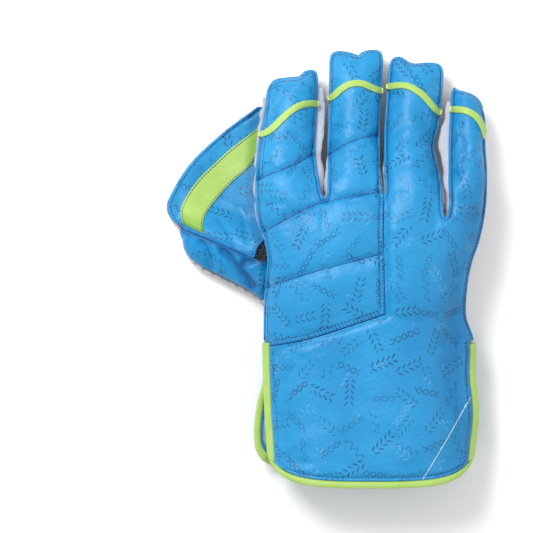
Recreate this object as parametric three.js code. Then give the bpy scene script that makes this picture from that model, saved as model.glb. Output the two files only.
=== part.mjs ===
// A right-hand wicketkeeping glove lying palm down, fingers towards +Y and thumb towards -X.
// Every wall is a sheet of leather, rubber or cloth with a real thickness, so the glove is hollow.
import * as THREE from "three";

// Driving sizes in millimetres.
const cuffLength = 106;
const handLength = 214;
const cuffWidth = 155;
const handWidth = 170;
const gloveHeight = 62;
const thumbHeight = 21;
const thumbWebSpan = 30;
const backWall = 3;
const overlayWall = 3.8;
const rubberWall = 2.5;
const gussetWall = 1.5;
const webWall = 1.6;
const liningWall = 1;
const bindingWall = 2.8;
const bindingWidth = 4;
const bandWall = 1.2;
const bandWidth = 4.7;
const bandLoft = 1.3;
const stripeWall = 1.2;
const stripeLoft = 0.8;
const webLoft = 0.5;
const rimWidth = 3.2;
const cuffBandWidth = 10;
const seamInset = 2.2;
const seamGap = 1.2;
const clearance = 0.3;
// How far soft undersides flatten on the surface they lie on.
const sag = 0.8;
// A wall on a slope is thicker upwards than across, by about this much.
const steepness = 1.3;

// Stations along the glove: 0 at the hem of the cuff, 1 at its top and 2 at the longest fingertip.
const slitEnd = 0.6;
const littleCrotch = 1.43;
const knuckleLine = 1.468;
const crotch = 1.505;
const openingTop = 1.395;
const littleGussetStart = 1.45;
const cuffPanelTop = 0.995;
// The seam across the top of the cuff: its ends on the thumb side and on the little side, with the
// share of the way from the glove's middle to the little side at which it gets there.
const seamLeft = 0.962;
const seamRight = 1.095;
const seamRun = 0.12;
// How far the hem's corners are cut back, in stations, and how late that begins.
const hemRise = 0.17;
const hemPower = 3.2;

// Roundness of the sections, as powers: 2 is a circle, and more is squarer.
const roundness = { hand: 2.4, finger: 2.3, palm: 3.4, palmFinger: 2.6, cuffPalm: 3, wrist: 3.6 };
// The hand's sections are flat at the sides beyond this share of their half width.
const flatFrom = 0.95;
// Where the fingers begin to part and are wholly apart, with the share that the first stretch does.
const parting = { start: 1.12, half: 1.42, end: 1.5, share: 0.55 };
// Where a fingertip begins to round off and ends, in shares of the way from the cleft to the tip.
const noseBack = { start: 0.72, end: 0.97 };
const nosePalm = { start: 0.84, end: 1.04, rim: 0.8 };
// Rise of the underside at the side of the wrist, in shares of the glove's height.
const wristLift = 0.28;
// Half the distances that slopes are measured over: across in millimetres and along in stations.
const slopeAcross = 0.5;
const slopeAlong = 0.002;

// Outline seen from above, in shares of half the local width.
const outline = [
  { at: 0.0, left: -0.955, right: 0.955 },
  { at: 0.257, left: -0.967, right: 0.981 },
  { at: 0.507, left: -0.99, right: 1.014 },
  { at: 0.778, left: -1.005, right: 0.981 },
  { at: 1.0, left: -1.009, right: 0.981 },
  { at: 1.085, left: -1.0, right: 0.897 },
  { at: 1.197, left: -0.963, right: 0.885 },
  { at: 1.276, left: -0.92, right: 0.907 },
  { at: 1.334, left: -0.928, right: 0.946 },
  { at: 1.402, left: -0.972, right: 0.976 },
  { at: 1.487, left: -0.994, right: 0.998 },
  { at: 1.589, left: -0.989, right: 1.007 },
  { at: 1.674, left: -0.972, right: 0.998 },
  { at: 1.827, left: -0.907, right: 1.007 },
  { at: 2.0, left: -0.868, right: 0.998 },
];

// The clefts between the fingers: centre and width, in shares of half the local width.
const clefts = {
  indexMiddle: [
    { at: 1.0, x: -0.493, gap: 0.03 },
    { at: 1.317, x: -0.43, gap: 0.03 },
    { at: 1.497, x: -0.404, gap: 0.03 },
    { at: 1.582, x: -0.417, gap: 0.09 },
    { at: 1.671, x: -0.424, gap: 0.103 },
    { at: 1.834, x: -0.406, gap: 0.095 },
    { at: 2.0, x: -0.398, gap: 0.095 },
  ],
  middleRing: [
    { at: 1.0, x: 0.137, gap: 0.018 },
    { at: 1.317, x: 0.102, gap: 0.018 },
    { at: 1.505, x: 0.102, gap: 0.02 },
    { at: 1.582, x: 0.097, gap: 0.03 },
    { at: 1.752, x: 0.106, gap: 0.036 },
    { at: 2.0, x: 0.151, gap: 0.055 },
  ],
  ringLittle: [
    { at: 1.0, x: 0.549, gap: 0.03 },
    { at: 1.317, x: 0.621, gap: 0.03 },
    { at: 1.43, x: 0.634, gap: 0.03 },
    { at: 1.497, x: 0.636, gap: 0.043 },
    { at: 1.582, x: 0.631, gap: 0.078 },
    { at: 1.671, x: 0.616, gap: 0.125 },
    { at: 1.752, x: 0.644, gap: 0.086 },
    { at: 2.0, x: 0.696, gap: 0.069 },
  ],
};

// Heights over the surface, in shares of the glove's height: underside, top of the rubber,
// sewn edge of the back and crown of the back.
const heights = [
  { at: 0.0, low: 0, rubber: 0.33, edge: 0.45, crown: 0.9 },
  { at: 0.3, low: 0, rubber: 0.35, edge: 0.46, crown: 0.88 },
  { at: 0.6, low: 0, rubber: 0.38, edge: 0.46, crown: 0.86 },
  { at: 1.0, low: 0.06, rubber: 0.34, edge: 0.47, crown: 0.86 },
  { at: 1.15, low: 0.15, rubber: 0.4, edge: 0.55, crown: 0.93 },
  { at: 1.35, low: 0.23, rubber: 0.44, edge: 0.6, crown: 1 },
  { at: 1.5, low: 0.2, rubber: 0.39, edge: 0.55, crown: 0.92 },
  { at: 1.7, low: 0.1, rubber: 0.27, edge: 0.41, crown: 0.7 },
  { at: 1.85, low: 0.01, rubber: 0.19, edge: 0.3, crown: 0.54 },
  { at: 2.0, low: 0, rubber: 0.14, edge: 0.22, crown: 0.42 },
];

// Each finger between its clefts, with the fullness of its back, and the stations of its tip edge
// and of its lime band from the thumb side to the little side.
const fingers = [
  {
    name: "index",
    from: null,
    to: "indexMiddle",
    full: 0.95,
    tip: [1.85, 1.885, 1.9, 1.903, 1.912, 1.93, 1.932, 1.88],
    band: [1.708, 1.715, 1.742, 1.778, 1.81, 1.816, 1.812, 1.81],
  },
  {
    name: "middle",
    from: "indexMiddle",
    to: "middleRing",
    full: 1,
    tip: [1.965, 1.986, 1.994, 1.983, 1.982, 1.998, 1.995, 1.965],
    band: [1.831, 1.841, 1.861, 1.88, 1.883, 1.872, 1.862, 1.858],
  },
  {
    name: "ring",
    from: "middleRing",
    to: "ringLittle",
    full: 1,
    tip: [1.94, 1.962, 1.977, 1.962, 1.955, 1.957, 1.94, 1.905],
    band: [1.878, 1.878, 1.88, 1.873, 1.848, 1.814, 1.787, 1.776],
  },
  {
    name: "little",
    from: "ringLittle",
    to: null,
    full: 0.9,
    tip: [1.862, 1.867, 1.863, 1.857, 1.845, 1.827, 1.8, 1.75],
    band: [1.797, 1.796, 1.793, 1.787, 1.771, 1.746, 1.715, 1.681],
  },
];

// Places across one finger, from side to side: the back's lie inside its flat sewn rims.
const backColumns = [-1, -0.76, -0.3, 0.3, 0.76, 1];
const palmColumns = [-1, -0.85, -0.5, 0, 0.5, 0.85, 1];
// Shares of the way from hem to seam, seam to cleft and cleft to fingertip.
const cuffRows = [0, 0.1, 0.3, 0.5, 0.7, 0.88, 1];
const handRows = [0.15, 0.35, 0.55, 0.78, 1];
const fingerRows = [0.14, 0.3, 0.46, 0.62, 0.76, 0.86, 0.93, 0.97, 1];

// The leather walls between back and palm: stations below the clefts, and shares of the way from
// cleft to fingertip. A wall turns round in the cleft, a little behind it and less far from the edge.
const indexGussetStations = [1.345, 1.395, 1.45];
const littleGussetStations = [1.015, 1.08, 1.15, 1.23, 1.31, 1.38];
const gussetShares = [0.2, 0.42, 0.64, 0.86];
const gussetTurn = 0.02;
const turnDepth = 0.004;
const turnInset = 0.6;

// Where the palm meets the underside of the thumb, in shares of half the hand's width.
const thumbJoin = [
  { at: 1.01, x: -0.557 },
  { at: 1.061, x: -0.592 },
  { at: 1.129, x: -0.609 },
  { at: 1.197, x: -0.635 },
  { at: 1.255, x: -0.661 },
  { at: 1.303, x: -0.687 },
  { at: 1.345, x: -0.64 },
  { at: 1.395, x: -0.549 },
];

// Rows of the palm, from the wrist to the clefts, and those of its rows and columns that the
// lining behind the opening covers.
const palmStations = [...thumbJoin.map((row) => row.at), littleCrotch, knuckleLine, crotch];
const liningRows = { from: 5, to: 9 };
const liningColumns = { from: 1, to: 5 };

// Rubber of the web and thumb: rows from its free outer edge to its inner edge, with the height
// of the outer edge in shares of the thumb's height.
const webRows = [
  { x: -0.989, at: 1.804, innerX: -0.88, innerAt: 1.82, rim: 0.2, curl: 3 },
  { x: -1.266, at: 1.725, innerX: -0.9, innerAt: 1.735, rim: 0.18, curl: 3 },
  { x: -1.56, at: 1.616, innerX: -0.91, innerAt: 1.635, rim: 0.18, curl: 3 },
  { x: -1.733, at: 1.507, innerX: -0.925, innerAt: 1.535, rim: 0.2, curl: 3 },
  { x: -1.767, at: 1.456, innerX: -0.93, innerAt: 1.47, rim: 0.24, curl: 4 },
  { x: -1.715, at: 1.412, innerX: -0.935, innerAt: 1.429, rim: 0.32, curl: 5 },
  { x: -1.65, at: 1.385, innerX: -0.9, innerAt: 1.385, rim: 0.4, curl: 6 },
  { x: -1.63, at: 1.351, innerX: -0.8, innerAt: 1.347, rim: 0.48, curl: 8 },
  { x: -1.596, at: 1.303, joined: 1.303, rim: 0.5, curl: 8 },
  { x: -1.5, at: 1.259, joined: 1.255, rim: 0.5, curl: 8 },
  { x: -1.29, at: 1.214, joined: 1.197, rim: 0.5, curl: 8 },
  { x: -1.0, at: 1.156, joined: 1.129, rim: 0.5, curl: 8 },
  { x: -0.756, at: 1.07, joined: 1.061, rim: 0.48, curl: 6 },
  { x: -0.64, at: 1.018, joined: 1.01, rim: 0.43, curl: 6 },
];
const webColumns = [0, 0.05, 0.15, 0.35, 0.6, 0.82, 1];
// How late the rubber rises towards its inner edge, as a power.
const webClimb = 3;

// Leather on the back of the web: the first rows lie on those of the rubber, and the last one
// lies along the crest of the thumb.
const webBackRows = [
  ...webRows.slice(0, 5),
  { x: -1.72, at: 1.416, innerX: -0.945, innerAt: 1.412, rim: 0.32, curl: 5 },
  { x: -1.663, at: 1.4, innerX: -0.955, innerAt: 1.37, rim: 0.42, curl: 6 },
  { x: -1.638, at: 1.393, innerX: -1.01, innerAt: 1.289, rim: 0.5, curl: 6 },
];

// The thumb's leather back: rows from its tip to the hand, each from the crest to the lower edge,
// with the heights of both in shares of the thumb's height.
const thumbRows = [
  { x: -1.643, at: 1.389, lowX: -1.625, lowAt: 1.352, crest: 0.62, low: 0.6 },
  { x: -1.58, at: 1.379, lowX: -1.6, lowAt: 1.31, crest: 0.95, low: 0.62 },
  { x: -1.46, at: 1.359, lowX: -1.51, lowAt: 1.27, crest: 1.15, low: 0.63 },
  { x: -1.32, at: 1.336, lowX: -1.33, lowAt: 1.232, crest: 1.22, low: 0.64 },
  { x: -1.18, at: 1.313, lowX: -1.17, lowAt: 1.2, crest: 1.25, low: 0.75 },
  { x: -1.06, at: 1.293, lowX: -1.04, lowAt: 1.175, crest: 1.32, low: 1.1 },
  { x: -0.955, at: 1.276, lowX: -0.95, lowAt: 1.163, crest: 1.5, low: 1.45 },
];
const thumbColumns = [0, 0.25, 0.5, 0.72, 0.9, 1];

// The grey cloth at the wrist: its rows from the hand down to the cuff, each from the thumb's base
// to the edge of the back, with the height of the base in shares of the thumb's height.
const wristRows = [
  { at: 1.15, lowX: -0.955, lowAt: 1.142, low: 0.62 },
  { at: 1.124, lowX: -0.896, lowAt: 1.118, low: 0.608 },
  { at: 1.098, lowX: -0.837, lowAt: 1.094, low: 0.596 },
  { at: 1.072, lowX: -0.778, lowAt: 1.07, low: 0.584 },
  { at: 1.046, lowX: -0.719, lowAt: 1.046, low: 0.572 },
  { at: 1.02, lowX: -0.66, lowAt: 1.022, low: 0.56 },
];
const wristColumns = [0, 0.35, 0.7, 1];

// The lime stripe on the web: its outer and inner edge.
const stripeRows = [
  { x: -0.985, at: 1.73, innerX: -0.985, innerAt: 1.647 },
  { x: -1.205, at: 1.667, innerX: -1.041, innerAt: 1.604 },
  { x: -1.352, at: 1.614, innerX: -1.188, innerAt: 1.553 },
  { x: -1.491, at: 1.56, innerX: -1.305, innerAt: 1.504 },
  { x: -1.586, at: 1.507, innerX: -1.391, innerAt: 1.46 },
  { x: -1.638, at: 1.46, innerX: -1.439, innerAt: 1.426 },
  { x: -1.64, at: 1.425, innerX: -1.45, innerAt: 1.395 },
  { x: -1.61, at: 1.4, innerX: -1.435, innerAt: 1.368 },
];
const stripeSteps = [0, 0.34, 0.67];
const stripeColumns = [0, 0.2, 0.4, 0.6, 0.8, 1];

// The palm side of the cuff bulges out past the back, and drops away from it below the sewn stretch.
const palmCuff = [
  { at: 0.0, left: -1.0, right: 0.95, slit: 0.12 },
  { at: 0.257, left: -1.09, right: 0.981, slit: 0.1 },
  { at: 0.4, left: -1.1, right: 1.0, slit: 0.07 },
  { at: 0.59, left: -1.066, right: 1.005, slit: 0.02 },
  { at: 0.7, left: -1.024, right: 0.985, slit: 0 },
  { at: 0.812, left: -1.009, right: 0.981, slit: 0 },
  { at: 1.0, left: -1.009, right: 0.981, slit: 0 },
];
const palmCuffColumns = [-1, -0.95, -0.86, -0.7, -0.45, -0.15, 0.15, 0.45, 0.7, 0.86, 0.95, 1];
const cuffBandColumns = [-0.48, -0.24, 0, 0.24, 0.48, 0.7];
const palmCuffRows = [0, 0.08, 0.2, 0.36, 0.52, 0.68, 0.84, 1];
const cuffBandRows = [-1, -0.35, 0.1, 0.55, 1];

// Interpolates one named column of a table of stations with a smooth curve.
function along(table, name, at) {
  const last = table.length - 1;
  let i = 0;
  while (i < last - 1 && at > table[i + 1].at) {
    i += 1;
  }
  const slope = (k) => {
    const before = table[Math.max(k - 1, 0)];
    const after = table[Math.min(k + 1, last)];
    return (after[name] - before[name]) / (after.at - before.at);
  };
  const span = table[i + 1].at - table[i].at;
  const t = THREE.MathUtils.clamp((at - table[i].at) / span, 0, 1);
  const t2 = t * t;
  const t3 = t2 * t;
  return (
    (2 * t3 - 3 * t2 + 1) * table[i][name] +
    (t3 - 2 * t2 + t) * span * slope(i) +
    (3 * t2 - 2 * t3) * table[i + 1][name] +
    (t3 - t2) * span * slope(i + 1)
  );
}

const smooth = THREE.MathUtils.smoothstep;
const mix = THREE.MathUtils.lerp;

// Distance from the hem at a station, and the station back from the distance.
function lengthAt(at) {
  return at < 1 ? at * cuffLength : cuffLength + (at - 1) * handLength;
}

function stationAt(y) {
  return y < cuffLength ? y / cuffLength : 1 + (y - cuffLength) / handLength;
}

function halfWidth(at) {
  return mix(cuffWidth, handWidth, smooth(at, 1, 1.5)) / 2;
}

// Height columns in millimetres.
function height(name, at) {
  return along(heights, name, at) * gloveHeight;
}

// Left and right edge of a finger, or of the stretch of the hand that leads to it.
function sides(finger, at) {
  const half = halfWidth(at);
  const edge = (name, sign) => {
    const table = clefts[name];
    return (along(table, "x", at) + (sign * along(table, "gap", at)) / 2) * half;
  };
  return {
    left: finger.from ? edge(finger.from, 1) : along(outline, "left", at) * half,
    right: finger.to ? edge(finger.to, -1) : along(outline, "right", at) * half,
  };
}

// A rounded section: 1 in the middle and 0 at the sides.
function arch(u, power) {
  return Math.pow(Math.max(0, 1 - Math.pow(Math.abs(u), power)), 1 / power);
}

// How far the hand has divided into fingers.
function divided(at) {
  const { start, half, end, share } = parting;
  return share * smooth(at, start, half) + (1 - share) * smooth(at, half, end);
}

// Place across the whole hand, from -1 to 1.
function across(x, at) {
  const half = halfWidth(at);
  const left = along(outline, "left", at) * half;
  const right = along(outline, "right", at) * half;
  return THREE.MathUtils.clamp((2 * (x - left)) / (right - left) - 1, -1, 1);
}

// Roundness of the fingertip, from the share of the way from cleft to tip.
function nose(share, { start, end }) {
  const t = THREE.MathUtils.clamp((share - start) / (end - start), 0, 1);
  return Math.sqrt(Math.max(0, 1 - t * t));
}

// Middle of the back's wall at a place in a finger; its rims at both sides are flat.
function backHeight(finger, x, at, share) {
  const { left, right } = sides(finger, at);
  const u = (x - (left + right) / 2) / ((right - left) / 2 - rimWidth);
  const hand = arch(across(x, at) / flatFrom, roundness.hand);
  const one = arch(Math.min(Math.abs(u), 1), roundness.finger) * finger.full;
  const form = mix(hand, one, divided(at)) * nose(share, noseBack);
  return mix(height("edge", at), height("crown", at) - backWall / 2, form);
}

// Middle of the rubber's wall at a place in a finger.
function palmHeight(u, x, at, share) {
  const hand = arch(across(x, at), roundness.palm);
  const one = arch(u, roundness.palmFinger);
  const form = mix(hand, one, divided(at)) * nose(share, nosePalm);
  const low = height("low", at) + rubberWall / 2;
  const sewn = height("edge", at) - backWall / 2 - clearance - rubberWall / 2;
  const rim = mix(height("rubber", at), sewn, smooth(share, nosePalm.rim, 1));
  return Math.max(mix(rim, low, form) - sag, rubberWall / 2);
}

// A sheet is a list of points joined by four-sided cells; equal points are shared.
class Sheet {
  points = [];
  cells = [];
  keys = new Map();

  point(x, y, z) {
    const key = [x, y, z].map((v) => Math.round(v * 1000)).join();
    if (!this.keys.has(key)) {
      this.keys.set(key, this.points.length);
      this.points.push(new THREE.Vector3(x, y, z));
    }
    return this.keys.get(key);
  }

  grid(rows, has = () => true) {
    const ids = rows.map((row) => row.map((p) => this.point(...p)));
    for (let r = 0; r + 1 < ids.length; r += 1) {
      for (let c = 0; c + 1 < ids[r].length; c += 1) {
        if (has(r, c)) {
          this.cells.push([ids[r][c], ids[r][c + 1], ids[r + 1][c + 1], ids[r + 1][c]]);
        }
      }
    }
    return this;
  }

  // A unit vector across the sheet at each point.
  normals() {
    const sums = this.points.map(() => new THREE.Vector3());
    for (const cell of this.cells) {
      const [a, b, c, d] = cell.map((i) => this.points[i]);
      const facing = c.clone().sub(a).cross(d.clone().sub(b)).normalize();
      cell.forEach((i) => sums[i].add(facing));
    }
    return sums.map((sum) => sum.normalize());
  }

  // Moves the whole sheet across itself.
  shift(distance) {
    const normals = this.normals();
    this.points.forEach((p, i) => p.addScaledVector(normals[i], distance));
    return this;
  }

  // The sheet as a closed wall of the given thickness, kept above the surface it lies on.
  thicken(wall) {
    const normals = this.normals();
    const triangles = [];
    const edges = new Set();
    for (const cell of this.cells) {
      const [a, b, c, d] = cell.map((i) => this.points[i]);
      const short = a.distanceTo(c) <= b.distanceTo(d);
      const [p, q, r, s] = short ? cell : [cell[1], cell[2], cell[3], cell[0]];
      triangles.push([p, q, r], [p, r, s]);
      cell.forEach((i, k) => edges.add(i + "_" + cell[(k + 1) % 4]));
    }
    const count = this.points.length;
    const position = new Float32Array(count * 6);
    this.points.forEach((p, i) => {
      const half = normals[i].clone().multiplyScalar(wall / 2);
      p.clone().add(half).toArray(position, i * 3);
      p.clone().sub(half).toArray(position, (count + i) * 3);
    });
    for (let i = 2; i < position.length; i += 3) {
      position[i] = Math.max(position[i], 0);
    }
    const index = [];
    for (const [p, q, r] of triangles) {
      index.push(p, q, r, count + r, count + q, count + p);
    }
    for (const edge of edges) {
      const [i, j] = edge.split("_").map(Number);
      if (!edges.has(j + "_" + i)) {
        index.push(i, count + i, count + j, i, count + j, j);
      }
    }
    const geometry = new THREE.BufferGeometry();
    geometry.setAttribute("position", new THREE.BufferAttribute(position, 3));
    geometry.setIndex(index);
    return geometry;
  }
}

const glove = new THREE.Group();

function add(name, geometry, material) {
  const mesh = new THREE.Mesh(geometry, material);
  mesh.name = name;
  glove.add(mesh);
}

function finish(color, roughness) {
  return new THREE.MeshStandardMaterial({ color, roughness, metalness: 0 });
}

const perFinger = backColumns.length + 2;

// Station of the hem at a place across the cuff, from -1 to 1.
function hemAt(place) {
  return hemRise * Math.pow(Math.abs(place), hemPower);
}

// Rows of points of the whole back, hem to fingertips, with the columns of all the fingers.
function backRows(binding, lift) {
  const seam = (u) => mix(seamLeft, seamRight, THREE.MathUtils.clamp((u + 1) / (1 + seamRun), 0, 1));
  const inset = (at) => (at < 1 ? binding : 0);
  const place = ({ finger, i }, at) => {
    const { left, right } = sides(finger, at);
    const from = finger.from ? left : left + inset(at);
    const to = finger.to ? right : right - inset(at);
    const edges = { 0: from, [perFinger - 1]: to };
    return edges[i] ?? mix(from + rimWidth, to - rimWidth, (backColumns[i - 1] + 1) / 2);
  };
  const columns = fingers.flatMap((finger) => finger.tip.map((tip, i) => ({ finger, i, tip })));
  const line = (column, at, share) => {
    const x = place(column, at);
    return [x, lengthAt(at), backHeight(column.finger, x, at, share) + lift];
  };
  const rows = [];
  for (const v of cuffRows) {
    rows.push(
      columns.map((column) => {
        const x = place(column, 0.5);
        const start = hemAt(across(x, 0)) + binding / cuffLength;
        return line(column, mix(start, seam(across(x, 0.5)), v), 0);
      }),
    );
  }
  for (const v of handRows) {
    rows.push(
      columns.map((column) => {
        const x = place(column, 0.5);
        return line(column, mix(seam(across(x, 0.5)), littleCrotch, v), 0);
      }),
    );
  }
  for (const at of [knuckleLine, crotch]) {
    rows.push(columns.map((column) => line(column, at, 0)));
  }
  for (const v of fingerRows) {
    rows.push(columns.map((column) => line(column, mix(crotch, column.tip, v), v)));
  }
  return rows;
}

const seamRow = cuffRows.length - 1;
const littleRow = seamRow + handRows.length;
const crotchRow = littleRow + 2;

// Whether the cell between two columns of the back is leather, and not a cleft.
function backHas(r, c) {
  if ((c + 1) % perFinger) {
    return true;
  }
  return c + 1 === 3 * perFinger ? r < littleRow : r < crotchRow;
}

function makeBack(leather) {
  const rows = backRows(bindingWidth + 2 * clearance, 0);
  const base = new Sheet().grid(rows, (r, c) => {
    const right = c >= 2 * perFinger;
    return backHas(r, c) && (r < seamRow || right);
  });
  add("back_base", base.thicken(backWall), leather);
  const raised = backRows(bindingWidth + 2 * clearance, (overlayWall - backWall) / 2);
  const upper = raised.slice(seamRow).map((row) => row.slice(0, 2 * perFinger));
  upper[0] = upper[0].map(([x, y, z]) => [x, y + seamGap, z]);
  const overlay = new Sheet().grid(upper, (r, c) => backHas(r + seamRow, c));
  add("back_overlay", overlay.thicken(overlayWall), leather);
}

// Middle of the rubber at one place of the palm.
function palmPoint(finger, u, at, share) {
  const { left, right } = sides(finger, at);
  let from = left + seamInset;
  const to = right - seamInset;
  let place = (u + 1) / 2;
  if (finger === fingers[0] && at < openingTop && u >= 0.5) {
    from = (along(thumbJoin, "x", at) * handWidth) / 2;
    place = (u - 0.5) / 0.5;
  }
  const x = mix(from, to, place);
  const spot = (2 * (x - left - seamInset)) / (right - left - 2 * seamInset) - 1;
  return [x, lengthAt(at), palmHeight(spot, x, at, share)];
}

function palmGrid(sheet) {
  const columns = fingers.flatMap((finger) =>
    palmColumns.map((u, i) => ({ finger, u, tip: mix(finger.tip[i], finger.tip[i + 1], 0.5) })),
  );
  const rows = palmStations.map((at) => columns.map(({ finger, u }) => palmPoint(finger, u, at, 0)));
  for (const v of fingerRows) {
    rows.push(
      columns.map(({ finger, u, tip }) => {
        const end = tip - seamInset / handLength;
        return palmPoint(finger, u, mix(crotch, end, v), v);
      }),
    );
  }
  const per = palmColumns.length;
  const opening = palmStations.indexOf(openingTop);
  const little = palmStations.indexOf(littleCrotch);
  const cleft = palmStations.indexOf(crotch);
  sheet.grid(rows, (r, c) => {
    if (r < opening && c < 4) {
      return false;
    }
    if ((c + 1) % per) {
      return true;
    }
    return c + 1 === 3 * per ? r < little : r < cleft;
  });
}

// Underside of the index finger's rubber near its thumb side.
function indexUnderside(x, at) {
  const { left, right } = sides(fingers[0], at);
  const u = (2 * (x - left - seamInset)) / (right - left - 2 * seamInset) - 1;
  return palmHeight(Math.max(u, -1), x, at, 0) - rubberWall / 2;
}

// Middle of the rubber of the web and thumb along one row, from the outer edge at 0 to the inner at 1.
function webPoint(row, share) {
  const outer = [(row.x * handWidth) / 2, lengthAt(row.at), row.rim * thumbHeight];
  let inner;
  if (row.joined) {
    inner = palmPoint(fingers[0], 0.5, row.joined, 0);
  } else {
    const x = (row.innerX * handWidth) / 2;
    const under = indexUnderside(x, row.innerAt) - webWall - 2 * clearance - rubberWall;
    inner = [x, lengthAt(row.innerAt), Math.max(under, rubberWall / 2)];
  }
  if (share === 1) {
    return inner;
  }
  const floor = rubberWall / 2;
  const rise = Math.pow(1 - share, row.curl) * (outer[2] - floor);
  const climb = Math.pow(share, webClimb) * (inner[2] - floor);
  const lifted = Math.max(rise + climb - sag, 0);
  return [mix(outer[0], inner[0], share), mix(outer[1], inner[1], share), floor + lifted];
}

// Height of a sheet at a place seen from above.
function heightOn(sheet, x, y) {
  const spot = new THREE.Vector3(x, y, 0);
  const flat = sheet.points.map((p) => new THREE.Vector3(p.x, p.y, 0));
  const weights = new THREE.Vector3();
  let best = null;
  let least = -Infinity;
  for (const [a, b, c, d] of sheet.cells) {
    for (const [i, j, k] of [[a, b, c], [a, c, d]]) {
      const found = THREE.Triangle.getBarycoord(spot, flat[i], flat[j], flat[k], weights);
      const inside = found ? Math.min(weights.x, weights.y, weights.z) : -Infinity;
      if (inside > least) {
        least = inside;
        const { points } = sheet;
        best = weights.x * points[i].z + weights.y * points[j].z + weights.z * points[k].z;
      }
    }
  }
  return best;
}

function makeRubber(rubber) {
  const sheet = new Sheet();
  palmGrid(sheet);
  const rows = webRows.map((row) => webColumns.map((share) => webPoint(row, share)));
  sheet.grid(rows.reverse());
  add("palm_rubber", sheet.thicken(rubberWall), rubber);
}

// Lime bands lie on the backs of the fingertips.
function makeBands(lime) {
  for (const finger of fingers) {
    const surface = (x, at, tip) => {
      const share = (at - crotch) / (tip - crotch);
      return new THREE.Vector3(x, lengthAt(at), backHeight(finger, x, at, share));
    };
    const half = bandWidth / 2 / handLength;
    const lift = backWall / 2 + overlayWall - backWall + bandLoft + bandWall / 2;
    const rows = [-1, 0, 1].map((side) =>
      finger.band.map((middle, i) => {
        const at = middle + side * half;
        const tip = finger.tip[i];
        const { left, right } = sides(finger, at);
        const inner = mix(left + rimWidth, right - rimWidth, (backColumns[i - 1] + 1) / 2);
        const x = { 0: left, [perFinger - 1]: right }[i] ?? inner;
        const here = surface(x, at, tip);
        const wide = surface(x - slopeAcross, at, tip).sub(surface(x + slopeAcross, at, tip));
        const long = surface(x, at - slopeAlong, tip).sub(surface(x, at + slopeAlong, tip));
        return here.add(wide.cross(long).normalize().multiplyScalar(lift)).toArray();
      }),
    );
    add("tip_band_" + finger.name, new Sheet().grid(rows).thicken(bandWall), lime);
  }
}

// The whole back and the whole palm as sheets, which the leather walls between them follow.
const wholeBack = new Sheet().grid(backRows(0, 0), backHas);
const wholePalm = new Sheet();
palmGrid(wholePalm);

// One column of a finger's leather wall, between the rubber's edge and the back's underside.
function gussetColumn(finger, side, at, inset = seamInset) {
  const { left, right } = sides(finger, at);
  const x = side < 0 ? left + inset : right - inset;
  const y = lengthAt(at);
  const bottom = heightOn(wholePalm, x, y) + (rubberWall / 2) * steepness + 2 * clearance;
  const top = heightOn(wholeBack, x, y) - (backWall / 2) * steepness - clearance;
  return [bottom, (bottom + top) / 2, top].map((z) => [x, y, z]);
}

// The columns up one side of a finger, from its cleft almost to its tip.
function gussetSide(finger, side, start) {
  const tip = finger.tip[side < 0 ? 0 : finger.tip.length - 1];
  const turns = [start, knuckleLine, crotch].filter((at) => at >= start);
  const shares = gussetShares.map((v) => mix(crotch, tip, v));
  return [...turns, ...shares].map((at) => gussetColumn(finger, side, at));
}

function makeGussets(grey) {
  const [index, middle, ring, little] = fingers;
  const wall = (columns) => new Sheet().grid(columns).thicken(gussetWall);
  const thumbSide = indexGussetStations.map((at) => gussetColumn(index, -1, at));
  add("index_side_gusset", wall([...thumbSide, ...gussetSide(index, -1, crotch)]), grey);
  const between = [
    ["index_middle_gusset", index, middle, crotch],
    ["middle_ring_gusset", middle, ring, crotch],
    ["ring_little_gusset", ring, little, littleCrotch],
  ];
  for (const [name, first, second, start] of between) {
    const down = gussetSide(first, 1, start + gussetTurn).reverse();
    const up = gussetSide(second, -1, start + gussetTurn);
    const turn = (finger, side) => gussetColumn(finger, side, start - turnDepth, seamInset * turnInset);
    add(name, wall([...down, turn(first, 1), turn(second, -1), ...up]), grey);
  }
  const outer = littleGussetStations.map((at) => gussetColumn(little, 1, at));
  add("little_side_gusset", wall([...outer, ...gussetSide(little, 1, littleGussetStart)]), grey);
}

// Height of the thumb's crest at a place along it.
function crestHeight(x) {
  const table = thumbRows.map((row) => ({ at: row.x, crest: row.crest * thumbHeight }));
  const place = THREE.MathUtils.clamp(x / (handWidth / 2), table[0].at, table[table.length - 1].at);
  return along(table, "crest", place);
}

// Leather on the web: it lies on the rubber and rises over the thumb to its crest.
function webBackPoint(row, share) {
  const [x, y, under] = webPoint(row, share);
  const level = under + (rubberWall / 2 + webWall / 2) * steepness + webLoft;
  const end = webBackRows[webBackRows.length - 1];
  const from = new THREE.Vector2((end.x * handWidth) / 2, lengthAt(end.at));
  const to = new THREE.Vector2((end.innerX * handWidth) / 2, lengthAt(end.innerAt));
  const away = to.clone().sub(from).normalize().cross(new THREE.Vector2(x, y).sub(from));
  const near = 0.5 + 0.5 * Math.cos(Math.PI * THREE.MathUtils.clamp(away / thumbWebSpan, 0, 1));
  return [x, y, Math.max(level, mix(level, crestHeight(x), near))];
}

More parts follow.
